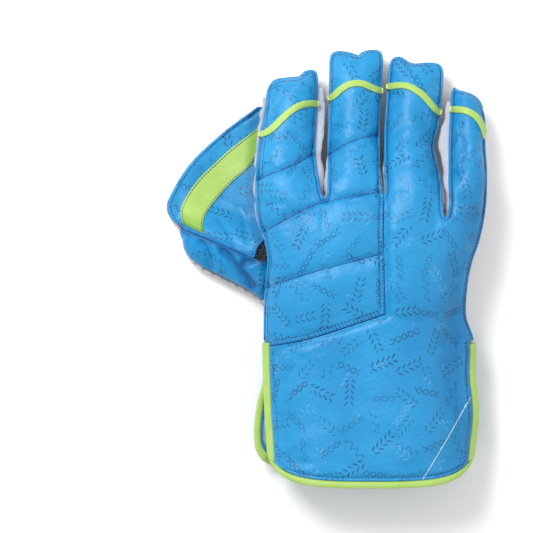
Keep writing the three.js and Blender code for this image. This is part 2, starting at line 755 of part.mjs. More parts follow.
function makeWebBack(leather, lime) {
  const rows = webBackRows.map((row) => webColumns.map((share) => webBackPoint(row, share)));
  const sheet = new Sheet().grid(rows.reverse());
  add("web_back", sheet.thicken(webWall), leather);
  const stripe = [];
  for (let i = 0; i + 1 < stripeRows.length; i += 1) {
    for (const t of i + 2 < stripeRows.length ? stripeSteps : [...stripeSteps, 1]) {
      const between = (name) => mix(stripeRows[i][name], stripeRows[i + 1][name], t);
      stripe.push(
        stripeColumns.map((share) => {
          const x = (mix(between("x"), between("innerX"), share) * handWidth) / 2;
          const y = lengthAt(mix(between("at"), between("innerAt"), share));
          return [x, y, heightOn(sheet, x, y)];
        }),
      );
    }
  }
  const lift = webWall / 2 + stripeLoft + stripeWall / 2;
  add("web_stripe", new Sheet().grid(stripe.reverse()).shift(lift).thicken(stripeWall), lime);
}

function makeThumbBack(leather) {
  const rows = thumbRows.map((row) =>
    thumbColumns.map((share) => {
      const x = (mix(row.x, row.lowX, share) * handWidth) / 2;
      const y = lengthAt(mix(row.at, row.lowAt, share));
      const round = Math.sqrt(1 - share * share);
      return [x, y, mix(row.low, row.crest, round) * thumbHeight];
    }),
  );
  add("thumb_back", new Sheet().grid(rows).thicken(webWall), leather);
}

// Grey cloth between the thumb's base, the edge of the back and the cuff.
function makeWristGusset(cloth) {
  const rows = wristRows.map((row) => {
    const [top] = gussetColumn(fingers[0], -1, row.at).slice(-1);
    const low = [
      (row.lowX * handWidth) / 2,
      lengthAt(row.lowAt) - gussetWall,
      row.low * thumbHeight + rubberWall / 2 + clearance,
    ];
    return wristColumns.map((v) => low.map((value, axis) => mix(value, top[axis], v)));
  });
  add("wrist_gusset", new Sheet().grid(rows).thicken(gussetWall), cloth);
}

// Rows of points of the cuff's palm panel, inside its binding.
function palmCuffGrid(binding, topAt = cuffPanelTop) {
  return palmCuffRows.map((v) =>
    palmCuffColumns.map((u) => {
      const at = mix(hemAt(u) + binding / cuffLength, topAt, v);
      const half = halfWidth(at);
      const from = along(palmCuff, "left", at) * half + binding;
      const to = along(palmCuff, "right", at) * half - binding;
      const x = mix(from, to, (u + 1) / 2);
      const open = along(palmCuff, "slit", at) * gloveHeight;
      const rim = height("edge", at) - backWall - clearance - open;
      const low = height("low", at) + backWall / 2;
      const form = arch(u / flatFrom, roundness.cuffPalm);
      return [x, lengthAt(at), Math.max(mix(rim, low, form) - sag, backWall / 2)];
    }),
  );
}

// How far the underside rises towards the side of the wrist.
function wristRise(place) {
  return wristLift * gloveHeight * (1 - arch(place, roundness.wrist));
}

// The strip round three sides of a panel, between its outer and its inner edge.
function edgeStrip(outer, inner, topRow) {
  const last = outer[0].length - 1;
  const path = [];
  for (let r = topRow; r > 0; r -= 1) {
    path.push([r, 0]);
  }
  outer[0].forEach((_, c) => path.push([0, c]));
  for (let r = 1; r <= topRow; r += 1) {
    path.push([r, last]);
  }
  return new Sheet().grid(path.map(([r, c]) => [inner[r][c], outer[r][c]]));
}

function makeCuff(leather, lime, cloth) {
  const room = bindingWidth + 2 * clearance;
  const panel = palmCuffGrid(room);
  add("cuff_palm", new Sheet().grid(panel).thicken(backWall), leather);
  const palmEdge = edgeStrip(palmCuffGrid(0), palmCuffGrid(bindingWidth), palmCuffRows.length - 1);
  add("cuff_palm_binding", palmEdge.thicken(bindingWall), lime);
  const backEdge = edgeStrip(backRows(0, 0), backRows(bindingWidth, 0), seamRow - 1);
  add("cuff_back_binding", backEdge.thicken(bindingWall), lime);
  const liningLift = backWall / 2 + clearance + liningWall / 2;
  const lining = new Sheet().grid(palmCuffGrid(room + seamInset, slitEnd)).shift(liningLift);
  add("cuff_lining", lining.thicken(liningWall), cloth);
  const half = cuffBandWidth / 2;
  const band = cuffBandRows.map((side) => {
    const at = stationAt(cuffLength + side * half);
    return cuffBandColumns.map((u) => {
      const x = u * halfWidth(at);
      return [x, lengthAt(at), height("low", at) + wristRise(u) - sag];
    });
  });
  const bandLift = -2 * clearance - bandWall / 2;
  add("cuff_palm_band", new Sheet().grid(band).shift(bandLift).thicken(bandWall), leather);
}

// The pale lining behind the opening at the root of the index finger.
function makePalmLining(cloth) {
  const lift = rubberWall / 2 + 2 * clearance + liningWall / 2;
  const rows = palmStations.slice(liningRows.from, liningRows.to).map((at) =>
    palmColumns.slice(liningColumns.from, liningColumns.to).map((u) => {
      const { left, right } = sides(fingers[0], at);
      const x = mix(left + seamInset, right - seamInset, (u + 1) / 2);
      return [x, lengthAt(at), palmHeight(u, x, at, 0)];
    }),
  );
  add("palm_lining", new Sheet().grid(rows).shift(lift).thicken(liningWall), cloth);
}

const blue = finish("#3a8fd2", 0.5);
const lime = finish("#a5c63a", 0.5);
const grey = finish("#b9bcbd", 0.6);
makeBack(blue);
makeBands(lime);
makeRubber(finish("#d8d4cc", 0.85));
makePalmLining(finish("#dcdcdc", 0.9));
makeGussets(grey);
makeWebBack(blue, lime);
makeThumbBack(blue);
makeWristGusset(finish("#8f9294", 0.9));
makeCuff(blue, lime, finish("#8d9092", 0.9));

// The origin is at the middle of the footprint, on the surface that the glove lies on.
const box = new THREE.Box3().setFromObject(glove);
const middle = box.getCenter(new THREE.Vector3());
glove.position.set(-middle.x, -middle.y, -box.min.z);

export default glove;
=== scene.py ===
"""Dresses the wicketkeeping glove: leather, rubber, cloth, seams and stitches over the CAD frame."""

import math

import bpy
import numpy as np
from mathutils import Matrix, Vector
from mathutils.bvhtree import BVHTree


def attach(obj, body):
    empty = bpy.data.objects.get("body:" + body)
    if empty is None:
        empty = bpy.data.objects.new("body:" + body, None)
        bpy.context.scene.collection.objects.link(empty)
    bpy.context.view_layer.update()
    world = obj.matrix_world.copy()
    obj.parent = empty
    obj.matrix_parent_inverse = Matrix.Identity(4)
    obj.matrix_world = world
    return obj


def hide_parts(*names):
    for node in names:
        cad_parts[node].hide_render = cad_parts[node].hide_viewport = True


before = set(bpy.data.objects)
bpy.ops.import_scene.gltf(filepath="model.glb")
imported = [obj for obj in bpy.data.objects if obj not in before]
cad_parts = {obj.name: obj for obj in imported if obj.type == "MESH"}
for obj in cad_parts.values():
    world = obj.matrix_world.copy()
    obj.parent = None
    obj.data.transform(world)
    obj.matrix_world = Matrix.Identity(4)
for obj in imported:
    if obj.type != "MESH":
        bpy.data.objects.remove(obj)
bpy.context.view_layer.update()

# Sizes of the part in millimetres, as in its source.
CUFF_LENGTH = 106
HAND_LENGTH = 214
CUFF_WIDTH = 155
HAND_WIDTH = 170
HEIGHT = 62
THUMB_HEIGHT = 21
THUMB_SPAN = 30
BACK_WALL = 3
OVERLAY_WALL = 3.8
RUBBER_WALL = 2.5
WEB_WALL = 1.6
BINDING = 4
RIM = 3.2
INSET = 2.2
CLEAR = 0.3
SAG = 0.8
STEEP = 1.3
LITTLE_CROTCH = 1.43
CROTCH = 1.505
OPENING_TOP = 1.395
ORIGIN = np.array([-32.2607, 159.8999, 0.0])


def table(names, *rows):
    return {name: np.array([row[i] for row in rows], float) for i, name in enumerate(names.split())}


OUTLINE = table(
    "at left right",
    (0.0, -0.955, 0.955), (0.257, -0.967, 0.981), (0.507, -0.99, 1.014), (0.778, -1.005, 0.981),
    (1.0, -1.009, 0.981), (1.085, -1.0, 0.897), (1.197, -0.963, 0.885), (1.276, -0.92, 0.907),
    (1.334, -0.928, 0.946), (1.402, -0.972, 0.976), (1.487, -0.994, 0.998), (1.589, -0.989, 1.007),
    (1.674, -0.972, 0.998), (1.827, -0.907, 1.007), (2.0, -0.868, 0.998),
)
CLEFTS = [
    table(
        "at x gap",
        (1.0, -0.493, 0.03), (1.317, -0.43, 0.03), (1.497, -0.404, 0.03), (1.582, -0.417, 0.09),
        (1.671, -0.424, 0.103), (1.834, -0.406, 0.095), (2.0, -0.398, 0.095),
    ),
    table(
        "at x gap",
        (1.0, 0.137, 0.018), (1.317, 0.102, 0.018), (1.505, 0.102, 0.02), (1.582, 0.097, 0.03),
        (1.752, 0.106, 0.036), (2.0, 0.151, 0.055),
    ),
    table(
        "at x gap",
        (1.0, 0.549, 0.03), (1.317, 0.621, 0.03), (1.43, 0.634, 0.03), (1.497, 0.636, 0.043),
        (1.582, 0.631, 0.078), (1.671, 0.616, 0.125), (1.752, 0.644, 0.086), (2.0, 0.696, 0.069),
    ),
]
HEIGHTS = table(
    "at low rubber edge crown",
    (0.0, 0, 0.33, 0.45, 0.9), (0.3, 0, 0.35, 0.46, 0.88), (0.6, 0, 0.38, 0.46, 0.86),
    (1.0, 0.06, 0.34, 0.47, 0.86), (1.15, 0.15, 0.4, 0.55, 0.93), (1.35, 0.23, 0.44, 0.6, 1),
    (1.5, 0.2, 0.39, 0.55, 0.92), (1.7, 0.1, 0.27, 0.41, 0.7), (1.85, 0.01, 0.19, 0.3, 0.54),
    (2.0, 0, 0.14, 0.22, 0.42),
)
# The tip edge of each finger's back: share of the way across, and station.
TIPS = [
    table(
        "at tip",
        (0, 1.858), (0.032, 1.875), (0.089, 1.889), (0.173, 1.896), (0.343, 1.9), (0.512, 1.903),
        (0.616, 1.905), (0.682, 1.911), (0.738, 1.922), (0.861, 1.93), (0.945, 1.926), (0.987, 1.913),
        (1, 1.896),
    ),
    table(
        "at tip",
        (0, 1.961), (0.023, 1.98), (0.094, 1.993), (0.236, 1.996), (0.352, 1.991), (0.465, 1.983),
        (0.55, 1.98), (0.579, 1.987), (0.693, 1.998), (0.835, 2.0), (0.934, 1.994), (0.986, 1.977),
        (1, 1.955),
    ),
    table(
        "at tip",
        (0, 1.944), (0.028, 1.963), (0.084, 1.974), (0.168, 1.977), (0.252, 1.972), (0.351, 1.959),
        (0.463, 1.953), (0.547, 1.954), (0.687, 1.956), (0.827, 1.955), (0.925, 1.947), (0.981, 1.931),
        (1, 1.911),
    ),
    table(
        "at tip",
        (0, 1.846), (0.023, 1.862), (0.093, 1.869), (0.186, 1.86), (0.417, 1.854), (0.652, 1.841),
        (0.814, 1.822), (0.907, 1.797), (0.968, 1.77), (1, 1.74),
    ),
]
# The padded leather stands a little past the frame at the tips.
for tip_edge in TIPS:
    tip_edge["tip"] += 0.005
FULL = [0.95, 1, 1, 0.9]
# The lime bands: share of the way across, and station.
BANDS = [
    table(
        "at band",
        (0, 1.71), (0.08, 1.711), (0.2, 1.724), (0.35, 1.757), (0.5, 1.787), (0.65, 1.806),
        (0.82, 1.815), (1, 1.816),
    ),
    table(
        "at band",
        (0, 1.834), (0.08, 1.839), (0.2, 1.86), (0.35, 1.878), (0.5, 1.884), (0.65, 1.881),
        (0.82, 1.868), (0.92, 1.862), (1, 1.862),
    ),
    table(
        "at band",
        (0, 1.876), (0.1, 1.877), (0.25, 1.878), (0.4, 1.871), (0.55, 1.855), (0.7, 1.832),
        (0.82, 1.808), (0.92, 1.79), (1, 1.785),
    ),
    table(
        "at band",
        (0, 1.797), (0.15, 1.795), (0.35, 1.791), (0.55, 1.781), (0.72, 1.765), (0.86, 1.742),
        (0.95, 1.715), (1, 1.685),
    ),
]
THUMB_JOIN = table(
    "at x",
    (1.01, -0.557), (1.061, -0.592), (1.129, -0.609), (1.197, -0.635), (1.255, -0.661),
    (1.303, -0.687), (1.345, -0.64), (1.395, -0.549),
)
WEB = table(
    "x at innerX innerAt rim curl",
    (-0.989, 1.804, -0.88, 1.82, 0.2, 3), (-1.266, 1.725, -0.9, 1.735, 0.18, 3),
    (-1.56, 1.616, -0.91, 1.635, 0.18, 3), (-1.733, 1.507, -0.925, 1.535, 0.2, 3),
    (-1.767, 1.456, -0.93, 1.47, 0.24, 4), (-1.715, 1.412, -0.935, 1.429, 0.32, 5),
    (-1.65, 1.385, -0.9, 1.385, 0.4, 6), (-1.63, 1.351, -0.8, 1.347, 0.48, 8),
    (-1.596, 1.303, 0, 1.303, 0.5, 8), (-1.5, 1.259, 0, 1.255, 0.5, 8),
    (-1.29, 1.214, 0, 1.197, 0.5, 8), (-1.0, 1.156, 0, 1.129, 0.5, 8),
    (-0.756, 1.07, 0, 1.061, 0.48, 6), (-0.64, 1.018, 0, 1.01, 0.43, 6),
)
WEB_BACK = table(
    "x at innerX innerAt rim curl",
    (-0.989, 1.804, -0.88, 1.82, 0.2, 3), (-1.266, 1.725, -0.9, 1.735, 0.18, 3),
    (-1.56, 1.616, -0.91, 1.635, 0.18, 3), (-1.733, 1.507, -0.925, 1.535, 0.2, 3),
    (-1.767, 1.456, -0.93, 1.47, 0.24, 4), (-1.72, 1.416, -0.93, 1.405, 0.32, 5),
    (-1.67, 1.402, -0.925, 1.354, 0.4, 6), (-1.65, 1.397, -0.982, 1.324, 0.46, 6),
    (-1.638, 1.393, -1.01, 1.289, 0.5, 6),
)
THUMB = table(
    "x at lowX lowAt crest low",
    (-1.643, 1.389, -1.625, 1.352, 0.62, 0.6), (-1.58, 1.379, -1.6, 1.31, 0.95, 0.6),
    (-1.46, 1.359, -1.51, 1.27, 1.15, 0.6), (-1.32, 1.336, -1.33, 1.232, 1.22, 0.6),
    (-1.18, 1.313, -1.17, 1.2, 1.25, 0.6), (-1.06, 1.293, -1.04, 1.172, 1.3, 0.62),
    (-0.955, 1.276, -0.95, 1.143, 1.36, 0.66), (-0.885, 1.27, -0.88, 1.128, 1.3, 0.72),
)
STRIPE = table(
    "x at innerX innerAt",
    (-0.9, 1.756, -0.92, 1.672), (-1.0, 1.728, -0.985, 1.647), (-1.205, 1.667, -1.041, 1.604), (-1.352, 1.614, -1.188, 1.553),
    (-1.491, 1.56, -1.305, 1.504), (-1.586, 1.507, -1.391, 1.46), (-1.638, 1.46, -1.439, 1.426),
    (-1.64, 1.425, -1.45, 1.395), (-1.61, 1.4, -1.435, 1.368),
)
PALM_CUFF = table(
    "at left right slit",
    (0.0, -1.0, 0.95, 0.12), (0.257, -1.09, 0.981, 0.1), (0.4, -1.1, 1.0, 0.07),
    (0.59, -1.066, 1.005, 0.02), (0.7, -1.024, 0.985, 0), (0.812, -1.009, 0.981, 0),
    (1.0, -1.009, 0.981, 0),
)


def along(columns, name, at):
    """One named column of a table of stations, smoothly interpolated."""
    xs, ys = columns["at"], columns[name]
    at = np.asarray(at, float)
    last = len(xs) - 1
    before = np.maximum(np.arange(last + 1) - 1, 0)
    after = np.minimum(np.arange(last + 1) + 1, last)
    slope = (ys[after] - ys[before]) / (xs[after] - xs[before])
    i = np.searchsorted(xs[1:-1], at)
    span = xs[i + 1] - xs[i]
    t = np.clip((at - xs[i]) / span, 0, 1)
    t2, t3 = t * t, t * t * t
    return (
        (2 * t3 - 3 * t2 + 1) * ys[i]
        + (t3 - 2 * t2 + t) * span * slope[i]
        + (3 * t2 - 2 * t3) * ys[i + 1]
        + (t3 - t2) * span * slope[i + 1]
    )


def spline(points, t):
    """A smooth curve through points, at places counted in points."""
    points = np.asarray(points, float)
    last = len(points) - 1
    t = np.asarray(t, float)
    i = np.clip(np.floor(t).astype(int), 0, last - 1)
    f = (t - i)[:, None]
    p0, p1 = points[np.maximum(i - 1, 0)], points[i]
    p2, p3 = points[i + 1], points[np.minimum(i + 2, last)]
    m1, m2 = (p2 - p0) / 2, (p3 - p1) / 2
    f2, f3 = f * f, f * f * f
    return (2 * f3 - 3 * f2 + 1) * p1 + (f3 - 2 * f2 + f) * m1 + (3 * f2 - 2 * f3) * p2 + (f3 - f2) * m2


def smooth(x, low, high):
    t = np.clip((np.asarray(x, float) - low) / (high - low), 0, 1)
    return t * t * (3 - 2 * t)


def mix(a, b, t):
    return a + (b - a) * t


def bump(distance, width):
    return np.exp(-((distance / width) ** 2))


def waves(x, y, scale, seed):
    """Smooth seeded noise from -1 to 1 whose features are about scale millimetres wide."""
    lattice = np.random.default_rng(seed).uniform(-1, 1, (64, 64))
    u, v = np.asarray(x) / scale + 17.3, np.asarray(y) / scale + 29.1
    i, j = np.floor(u).astype(int), np.floor(v).astype(int)
    f, g = u - i, v - j
    f, g = f * f * f * (f * (6 * f - 15) + 10), g * g * g * (g * (6 * g - 15) + 10)
    value = lambda a, b: lattice[(i + a) % 64, (j + b) % 64]
    low = mix(value(0, 0), value(1, 0), f)
    high = mix(value(0, 1), value(1, 1), f)
    return mix(low, high, g)


def length_at(at):
    at = np.asarray(at, float)
    return np.where(at < 1, at * CUFF_LENGTH, CUFF_LENGTH + (at - 1) * HAND_LENGTH)


def station_at(y):
    y = np.asarray(y, float)
    return np.where(y < CUFF_LENGTH, y / CUFF_LENGTH, 1 + (y - CUFF_LENGTH) / HAND_LENGTH)


def half_width(at):
    return mix(CUFF_WIDTH, HAND_WIDTH, smooth(at, 1, 1.5)) / 2


def height(name, at):
    return along(HEIGHTS, name, at) * HEIGHT


# Where each cleft's rounded bottom lies, and how far above it the cleft reaches its full width.
BOTTOMS = [1.489, 1.497, 1.424]
ROUNDING = [0.06, 0.04, 0.07]
CLEFT_WIDTHS = [0.066, 0.034, 0.06]


def sides(finger, at, rounded=False):
    """Left and right edge of a finger, or of the stretch of the hand that leads to it."""
    half = half_width(at)

    def edge(k, sign):
        gap = along(CLEFTS[k], "gap", at)
        if rounded:
            open_share = np.clip((np.asarray(at) - BOTTOMS[k]) / ROUNDING[k], 0, 1)
            gap = np.maximum(gap, CLEFT_WIDTHS[k]) * np.sqrt(open_share * (2 - open_share))
        return (along(CLEFTS[k], "x", at) + sign * gap / 2) * half

    left = edge(finger - 1, 1) if finger else along(OUTLINE, "left", at) * half
    right = edge(finger, -1) if finger < 3 else along(OUTLINE, "right", at) * half
    return left, right


def arch(u, power, out=None):
    return np.maximum(0, 1 - np.abs(u) ** power) ** (out or 1 / power)


def divided(at):
    return 0.55 * smooth(at, 1.12, 1.42) + 0.45 * smooth(at, 1.42, 1.5)


# How far below the crown the edges of a cleft lie at its bottom.
CLEFT_DROP = 7


def side_edge(finger, side, at):
    """Height of a finger's sewn edge: in the clefts it begins close under the crown."""
    plain = height("edge", at)
    if (finger == 0 and side < 0) or (finger == 3 and side > 0):
        return plain
    bottom = BOTTOMS[finger - 1 if side < 0 else finger]
    high = height("crown", at) - CLEFT_DROP
    return mix(high, plain, smooth(at, bottom + 0.02, bottom + 0.26))


def across(x, at):
    half = half_width(at)
    left, right = along(OUTLINE, "left", at) * half, along(OUTLINE, "right", at) * half
    return np.clip(2 * (x - left) / (right - left) - 1, -1, 1)


def nose(share, start, end, out=0.5):
    t = np.clip((share - start) / (end - start), 0, 1)
    return (1 - t * t) ** out


def back_height(finger, x, at, share):
    left, right = sides(finger, at)
    flat = lambda k: RIM * smooth(at, BOTTOMS[k] - 0.04, BOTTOMS[k] + 0.02)
    left_rim = flat(finger - 1) if finger else RIM
    right_rim = flat(finger) if finger < 3 else RIM
    u = 2 * (x - left - left_rim) / (right - left - left_rim - right_rim) - 1
    hand = arch(across(x, at) / 0.965, 2.4, 0.55)
    one = arch(np.minimum(np.abs(u), 1), 2.2, 0.72) * FULL[finger]
    parted = 0.12 * smooth(at, 1.25, 1.42) + 0.88 * smooth(at, 1.39, 1.58)
    form = mix(hand, one, parted) * nose(share, 0.72, 0.985, 0.6)
    t = np.clip((x - left) / (right - left), 0, 1)
    edge = mix(side_edge(finger, -1, at), side_edge(finger, 1, at), t)
    return mix(edge, height("crown", at) - BACK_WALL / 2, form)


def palm_height(u, x, at, share):
    hand, one = arch(across(x, at), 3.4), arch(u, 2.6)
    form = mix(hand, one, divided(at)) * nose(share, 0.84, 1.0)
    low = height("low", at) + RUBBER_WALL / 2
    sewn = height("edge", at) - BACK_WALL / 2 - CLEAR - RUBBER_WALL / 2
    rim = mix(height("rubber", at), sewn, smooth(share, 0.8, 1))
    return np.maximum(mix(rim, low, form) - SAG, RUBBER_WALL / 2)


def normals(grid):
    """A unit vector across a grid of points at each of them."""
    n = np.cross(np.gradient(grid, axis=1), np.gradient(grid, axis=0))
    size = np.linalg.norm(n, axis=-1, keepdims=True)
    return n / np.maximum(size, 1e-9)


def place(name, vertices, faces, material, slot, shade=True):
    """A mesh piece in the shared frame from vertices in millimetres."""
    mesh = bpy.data.meshes.new(name)
    moved = (np.asarray(vertices, float) - ORIGIN) / 1000
    moved[:, 2] = np.maximum(moved[:, 2], 0.00005)
    mesh.from_pydata(moved.tolist(), [], faces)
    mesh.validate()
    if shade:
        mesh.polygons.foreach_set("use_smooth", [True] * len(mesh.polygons))
    obj = bpy.data.objects.new(name, mesh)
    bpy.context.scene.collection.objects.link(obj)
    mesh.materials.append(material)
    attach(obj, "root")
    return obj


def quads(shape, has):
    """Corners of the grid's cells, counted along its rows."""
    rows, columns = shape
    index = np.arange(rows * columns).reshape(rows, columns)
    cells = np.stack([index[:-1, :-1], index[:-1, 1:], index[1:, 1:], index[1:, :-1]], axis=-1)
    return cells[has]


def edges_of(cells):
    """Directed edges that only one cell has."""
    edges = np.concatenate([cells[:, [k, (k + 1) % 4]] for k in range(4)])
    edges = edges[edges[:, 0] != edges[:, 1]]
    forward = {tuple(e) for e in edges.tolist()}
    return [e for e in forward if (e[1], e[0]) not in forward]


def welded(points):
    """Equal points as one: the list of different ones and the place of each in it."""
    keys = np.round(points * 1000).astype(np.int64)
    _, first, back = np.unique(keys, axis=0, return_index=True, return_inverse=True)
    return points[first], back.reshape(-1)


def shell(name, top, bottom, material, slot, has=None, painted_shade=None):
    """A closed wall between two grids of points; the last argument gives how much painted shade darkens each point's
    colour.
    """
    rows, columns, _ = top.shape
    has = np.ones((rows - 1, columns - 1), bool) if has is None else has
    cells = quads((rows, columns), has)
    count = rows * columns
    both = np.concatenate([top.reshape(-1, 3), bottom.reshape(-1, 3)])
    points, back = welded(both)
    spots = np.zeros((len(points), 3))
    spots[back, :2] = np.tile(laid_out(top), (2, 1))
    _, flat = welded(np.round(top.reshape(-1, 3), 3))
    faces = [cells, cells[:, ::-1] + count]
    loose = edges_of(flat[cells])
    first = {}
    for cell, ids in zip(cells.tolist(), flat[cells].tolist()):
        for k in range(4):
            first[(ids[k], ids[(k + 1) % 4])] = (cell[k], cell[(k + 1) % 4])
    wall = []
    for edge in loose:
        i, j = first[edge]
        wall.append((i, i + count, j + count, j))
    if wall:
        faces.append(np.array(wall))
    result = []
    for face in back[np.concatenate(faces)].tolist():
        kept = [v for k, v in enumerate(face) if v != face[k - 1]]
        if len(set(kept)) == len(kept) and len(kept) > 2:
            result.append(kept)
    used = np.unique(np.concatenate([np.array(f) for f in result]))
    renumber = np.full(len(points), -1)
    renumber[used] = np.arange(len(used))
    obj = place(name, points[used], [[int(renumber[v]) for v in f] for f in result], material, slot)
    laid = obj.data.attributes.new("laid", "FLOAT_VECTOR", "POINT")
    laid.data.foreach_set("vector", spots[used].ravel())
    # Painted shade: how much each point's colour is darkened, stored for the leather materials.
    if painted_shade is not None:
        depth = np.zeros(len(points))
        depth[back] = np.tile(np.ravel(painted_shade), 2)
        shade_attribute = obj.data.attributes.new("painted_shade", "FLOAT", "POINT")
        shade_attribute.data.foreach_set("value", depth[used])
    return obj


def spread(grid, axis, start):
    """How far a sheet's points move along one way of its grid when it is spread flat."""
    step = np.diff(grid, axis=axis)
    plan = np.linalg.norm(step[..., :2], axis=-1, keepdims=True)
    full = np.linalg.norm(step, axis=-1, keepdims=True)
    extra = step[..., :2] * np.minimum((full - plan) / np.maximum(plan, 0.05), 3)
    for side in (1 - axis, 1 - axis, 1 - axis):
        before, after = np.roll(extra, 3, axis=side), np.roll(extra, -3, axis=side)
        extra = (extra + before + after) / 3
    total = np.insert(np.cumsum(extra, axis=axis), 0, 0, axis=axis)
    return total - np.take(total, [start], axis=axis)


def laid_out(grid):
    flat = grid[..., :2] + spread(grid, 1, grid.shape[1] // 2) + spread(grid, 0, 0)
    return (flat - ORIGIN[:2]).reshape(-1, 2) / 1000


def rolled(distance, radius):
    """Share of a wall's half thickness at a distance from its rounded edge."""
    t = np.clip(distance / radius, 0, 1)
    return np.sqrt(np.maximum(0, 1 - (1 - t) ** 2))


def to_segments(points, starts, ends, chunk=4000):
    """Distance from points to the nearest of some segments, seen from above."""
    result = np.empty(len(points))
    d = ends - starts
    size = np.maximum((d * d).sum(1), 1e-9)
    for i in range(0, len(points), chunk):
        p = points[i : i + chunk, None, :]
        t = np.clip(((p - starts) * d).sum(2) / size, 0, 1)
        away = p - (starts + t[..., None] * d)
        result[i : i + chunk] = np.sqrt((away * away).sum(2).min(1))
    return result


def to_path(x, y, path):
    path = np.asarray(path, float)
    points = np.stack([np.ravel(x), np.ravel(y)], axis=1)
    return to_segments(points, path[:-1], path[1:]).reshape(np.shape(x))


def loops_of(edges):
    """Chains directed edges into closed loops of point numbers."""
    following = {}
    for a, b in edges:
        following.setdefault(a, []).append(b)
    loops = []
    while following:
        start = next(iter(following))
        loop, here = [start], start
        while here in following:
            targets = following[here]
            nxt = targets.pop()
            if not targets:
                del following[here]
            here = nxt
            if here == start:
                break
            loop.append(here)
        loops.append(loop)
    return loops


def resample(path, step):
    path = np.asarray(path, float)
    lengths = np.linalg.norm(np.diff(path, axis=0), axis=1)
    total = np.concatenate([[0], np.cumsum(lengths)])
    if total[-1] < step:
        return path[:1]
    marks = np.arange(0, total[-1], step)
    return np.stack([np.interp(marks, total, path[:, k]) for k in range(path.shape[1])], axis=1)


# Materials


def linear(r, g, b):
    channel = lambda v: v / 12.92 if v <= 0.04045 else ((v + 0.055) / 1.055) ** 2.4
    return tuple(channel(v / 255) for v in (r, g, b)) + (1,)


class Nodes:
    """A short way to write a material's nodes."""

    def __init__(self, name):
        self.material = bpy.data.materials.new(name)
        self.material.use_nodes = True
        self.tree = self.material.node_tree
        self.shader = self.tree.nodes["Principled BSDF"]
        self.place = self.node("ShaderNodeTexCoord").outputs["Object"]
        self.laid = self.node("ShaderNodeAttribute", attribute_name="laid").outputs["Vector"]

    def node(self, kind, inputs=(), **settings):
        node = self.tree.nodes.new(kind)
        for key, value in settings.items():
            setattr(node, key, value)
        for key, value in dict(inputs).items():
            self.set(node.inputs[key], value)
        return node

    def set(self, socket, value):
        if isinstance(value, bpy.types.NodeSocket):
            self.tree.links.new(value, socket)
        else:
            socket.default_value = value

    def math(self, operation, *values, clamp=False):
        inputs = dict(enumerate(values))
        return self.node("ShaderNodeMath", inputs, operation=operation, use_clamp=clamp).outputs[0]

    def vector(self, operation, *values, out="Vector"):
        return self.node("ShaderNodeVectorMath", dict(enumerate(values)), operation=operation).outputs[out]

    def noise(self, scale, detail=2.0, roughness=0.5, where=None):
        inputs = {"Vector": where or self.place, "Scale": scale, "Detail": detail, "Roughness": roughness}
        return self.node("ShaderNodeTexNoise", inputs).outputs["Fac"]

    def cells(self, scale, out="Distance", feature="F1", where=None, randomness=1.0):
        inputs = {"Vector": where or self.place, "Scale": scale, "Randomness": randomness}
        node = self.node("ShaderNodeTexVoronoi", inputs, feature=feature)
        return node.outputs[out]

    def between(self, value, low, high, start=0.0, end=1.0):
        inputs = {"Value": value, "From Min": low, "From Max": high, "To Min": start, "To Max": end}
        return self.node("ShaderNodeMapRange", inputs, interpolation_type="SMOOTHSTEP").outputs[0]

    def blend(self, factor, a, b):
        node = self.node("ShaderNodeMix", data_type="RGBA")
        self.set(node.inputs[0], factor)
        self.set(node.inputs[6], a)
        self.set(node.inputs[7], b)
        return node.outputs[2]

    def bumps(self, *heights):
        """Bump from pairs of a height and its depth in metres."""
        normal = None
        for value, depth in heights:
            inputs = {"Height": value, "Distance": depth, "Strength": 1.0}
            if normal is not None:
                inputs["Normal"] = normal
            normal = self.node("ShaderNodeBump", inputs).outputs[0]
        self.set(self.shader.inputs["Normal"], normal)

    def finish(self, **values):
        for key, value in values.items():
            self.set(self.shader.inputs[key.replace("_", " ")], value)
        return self.material


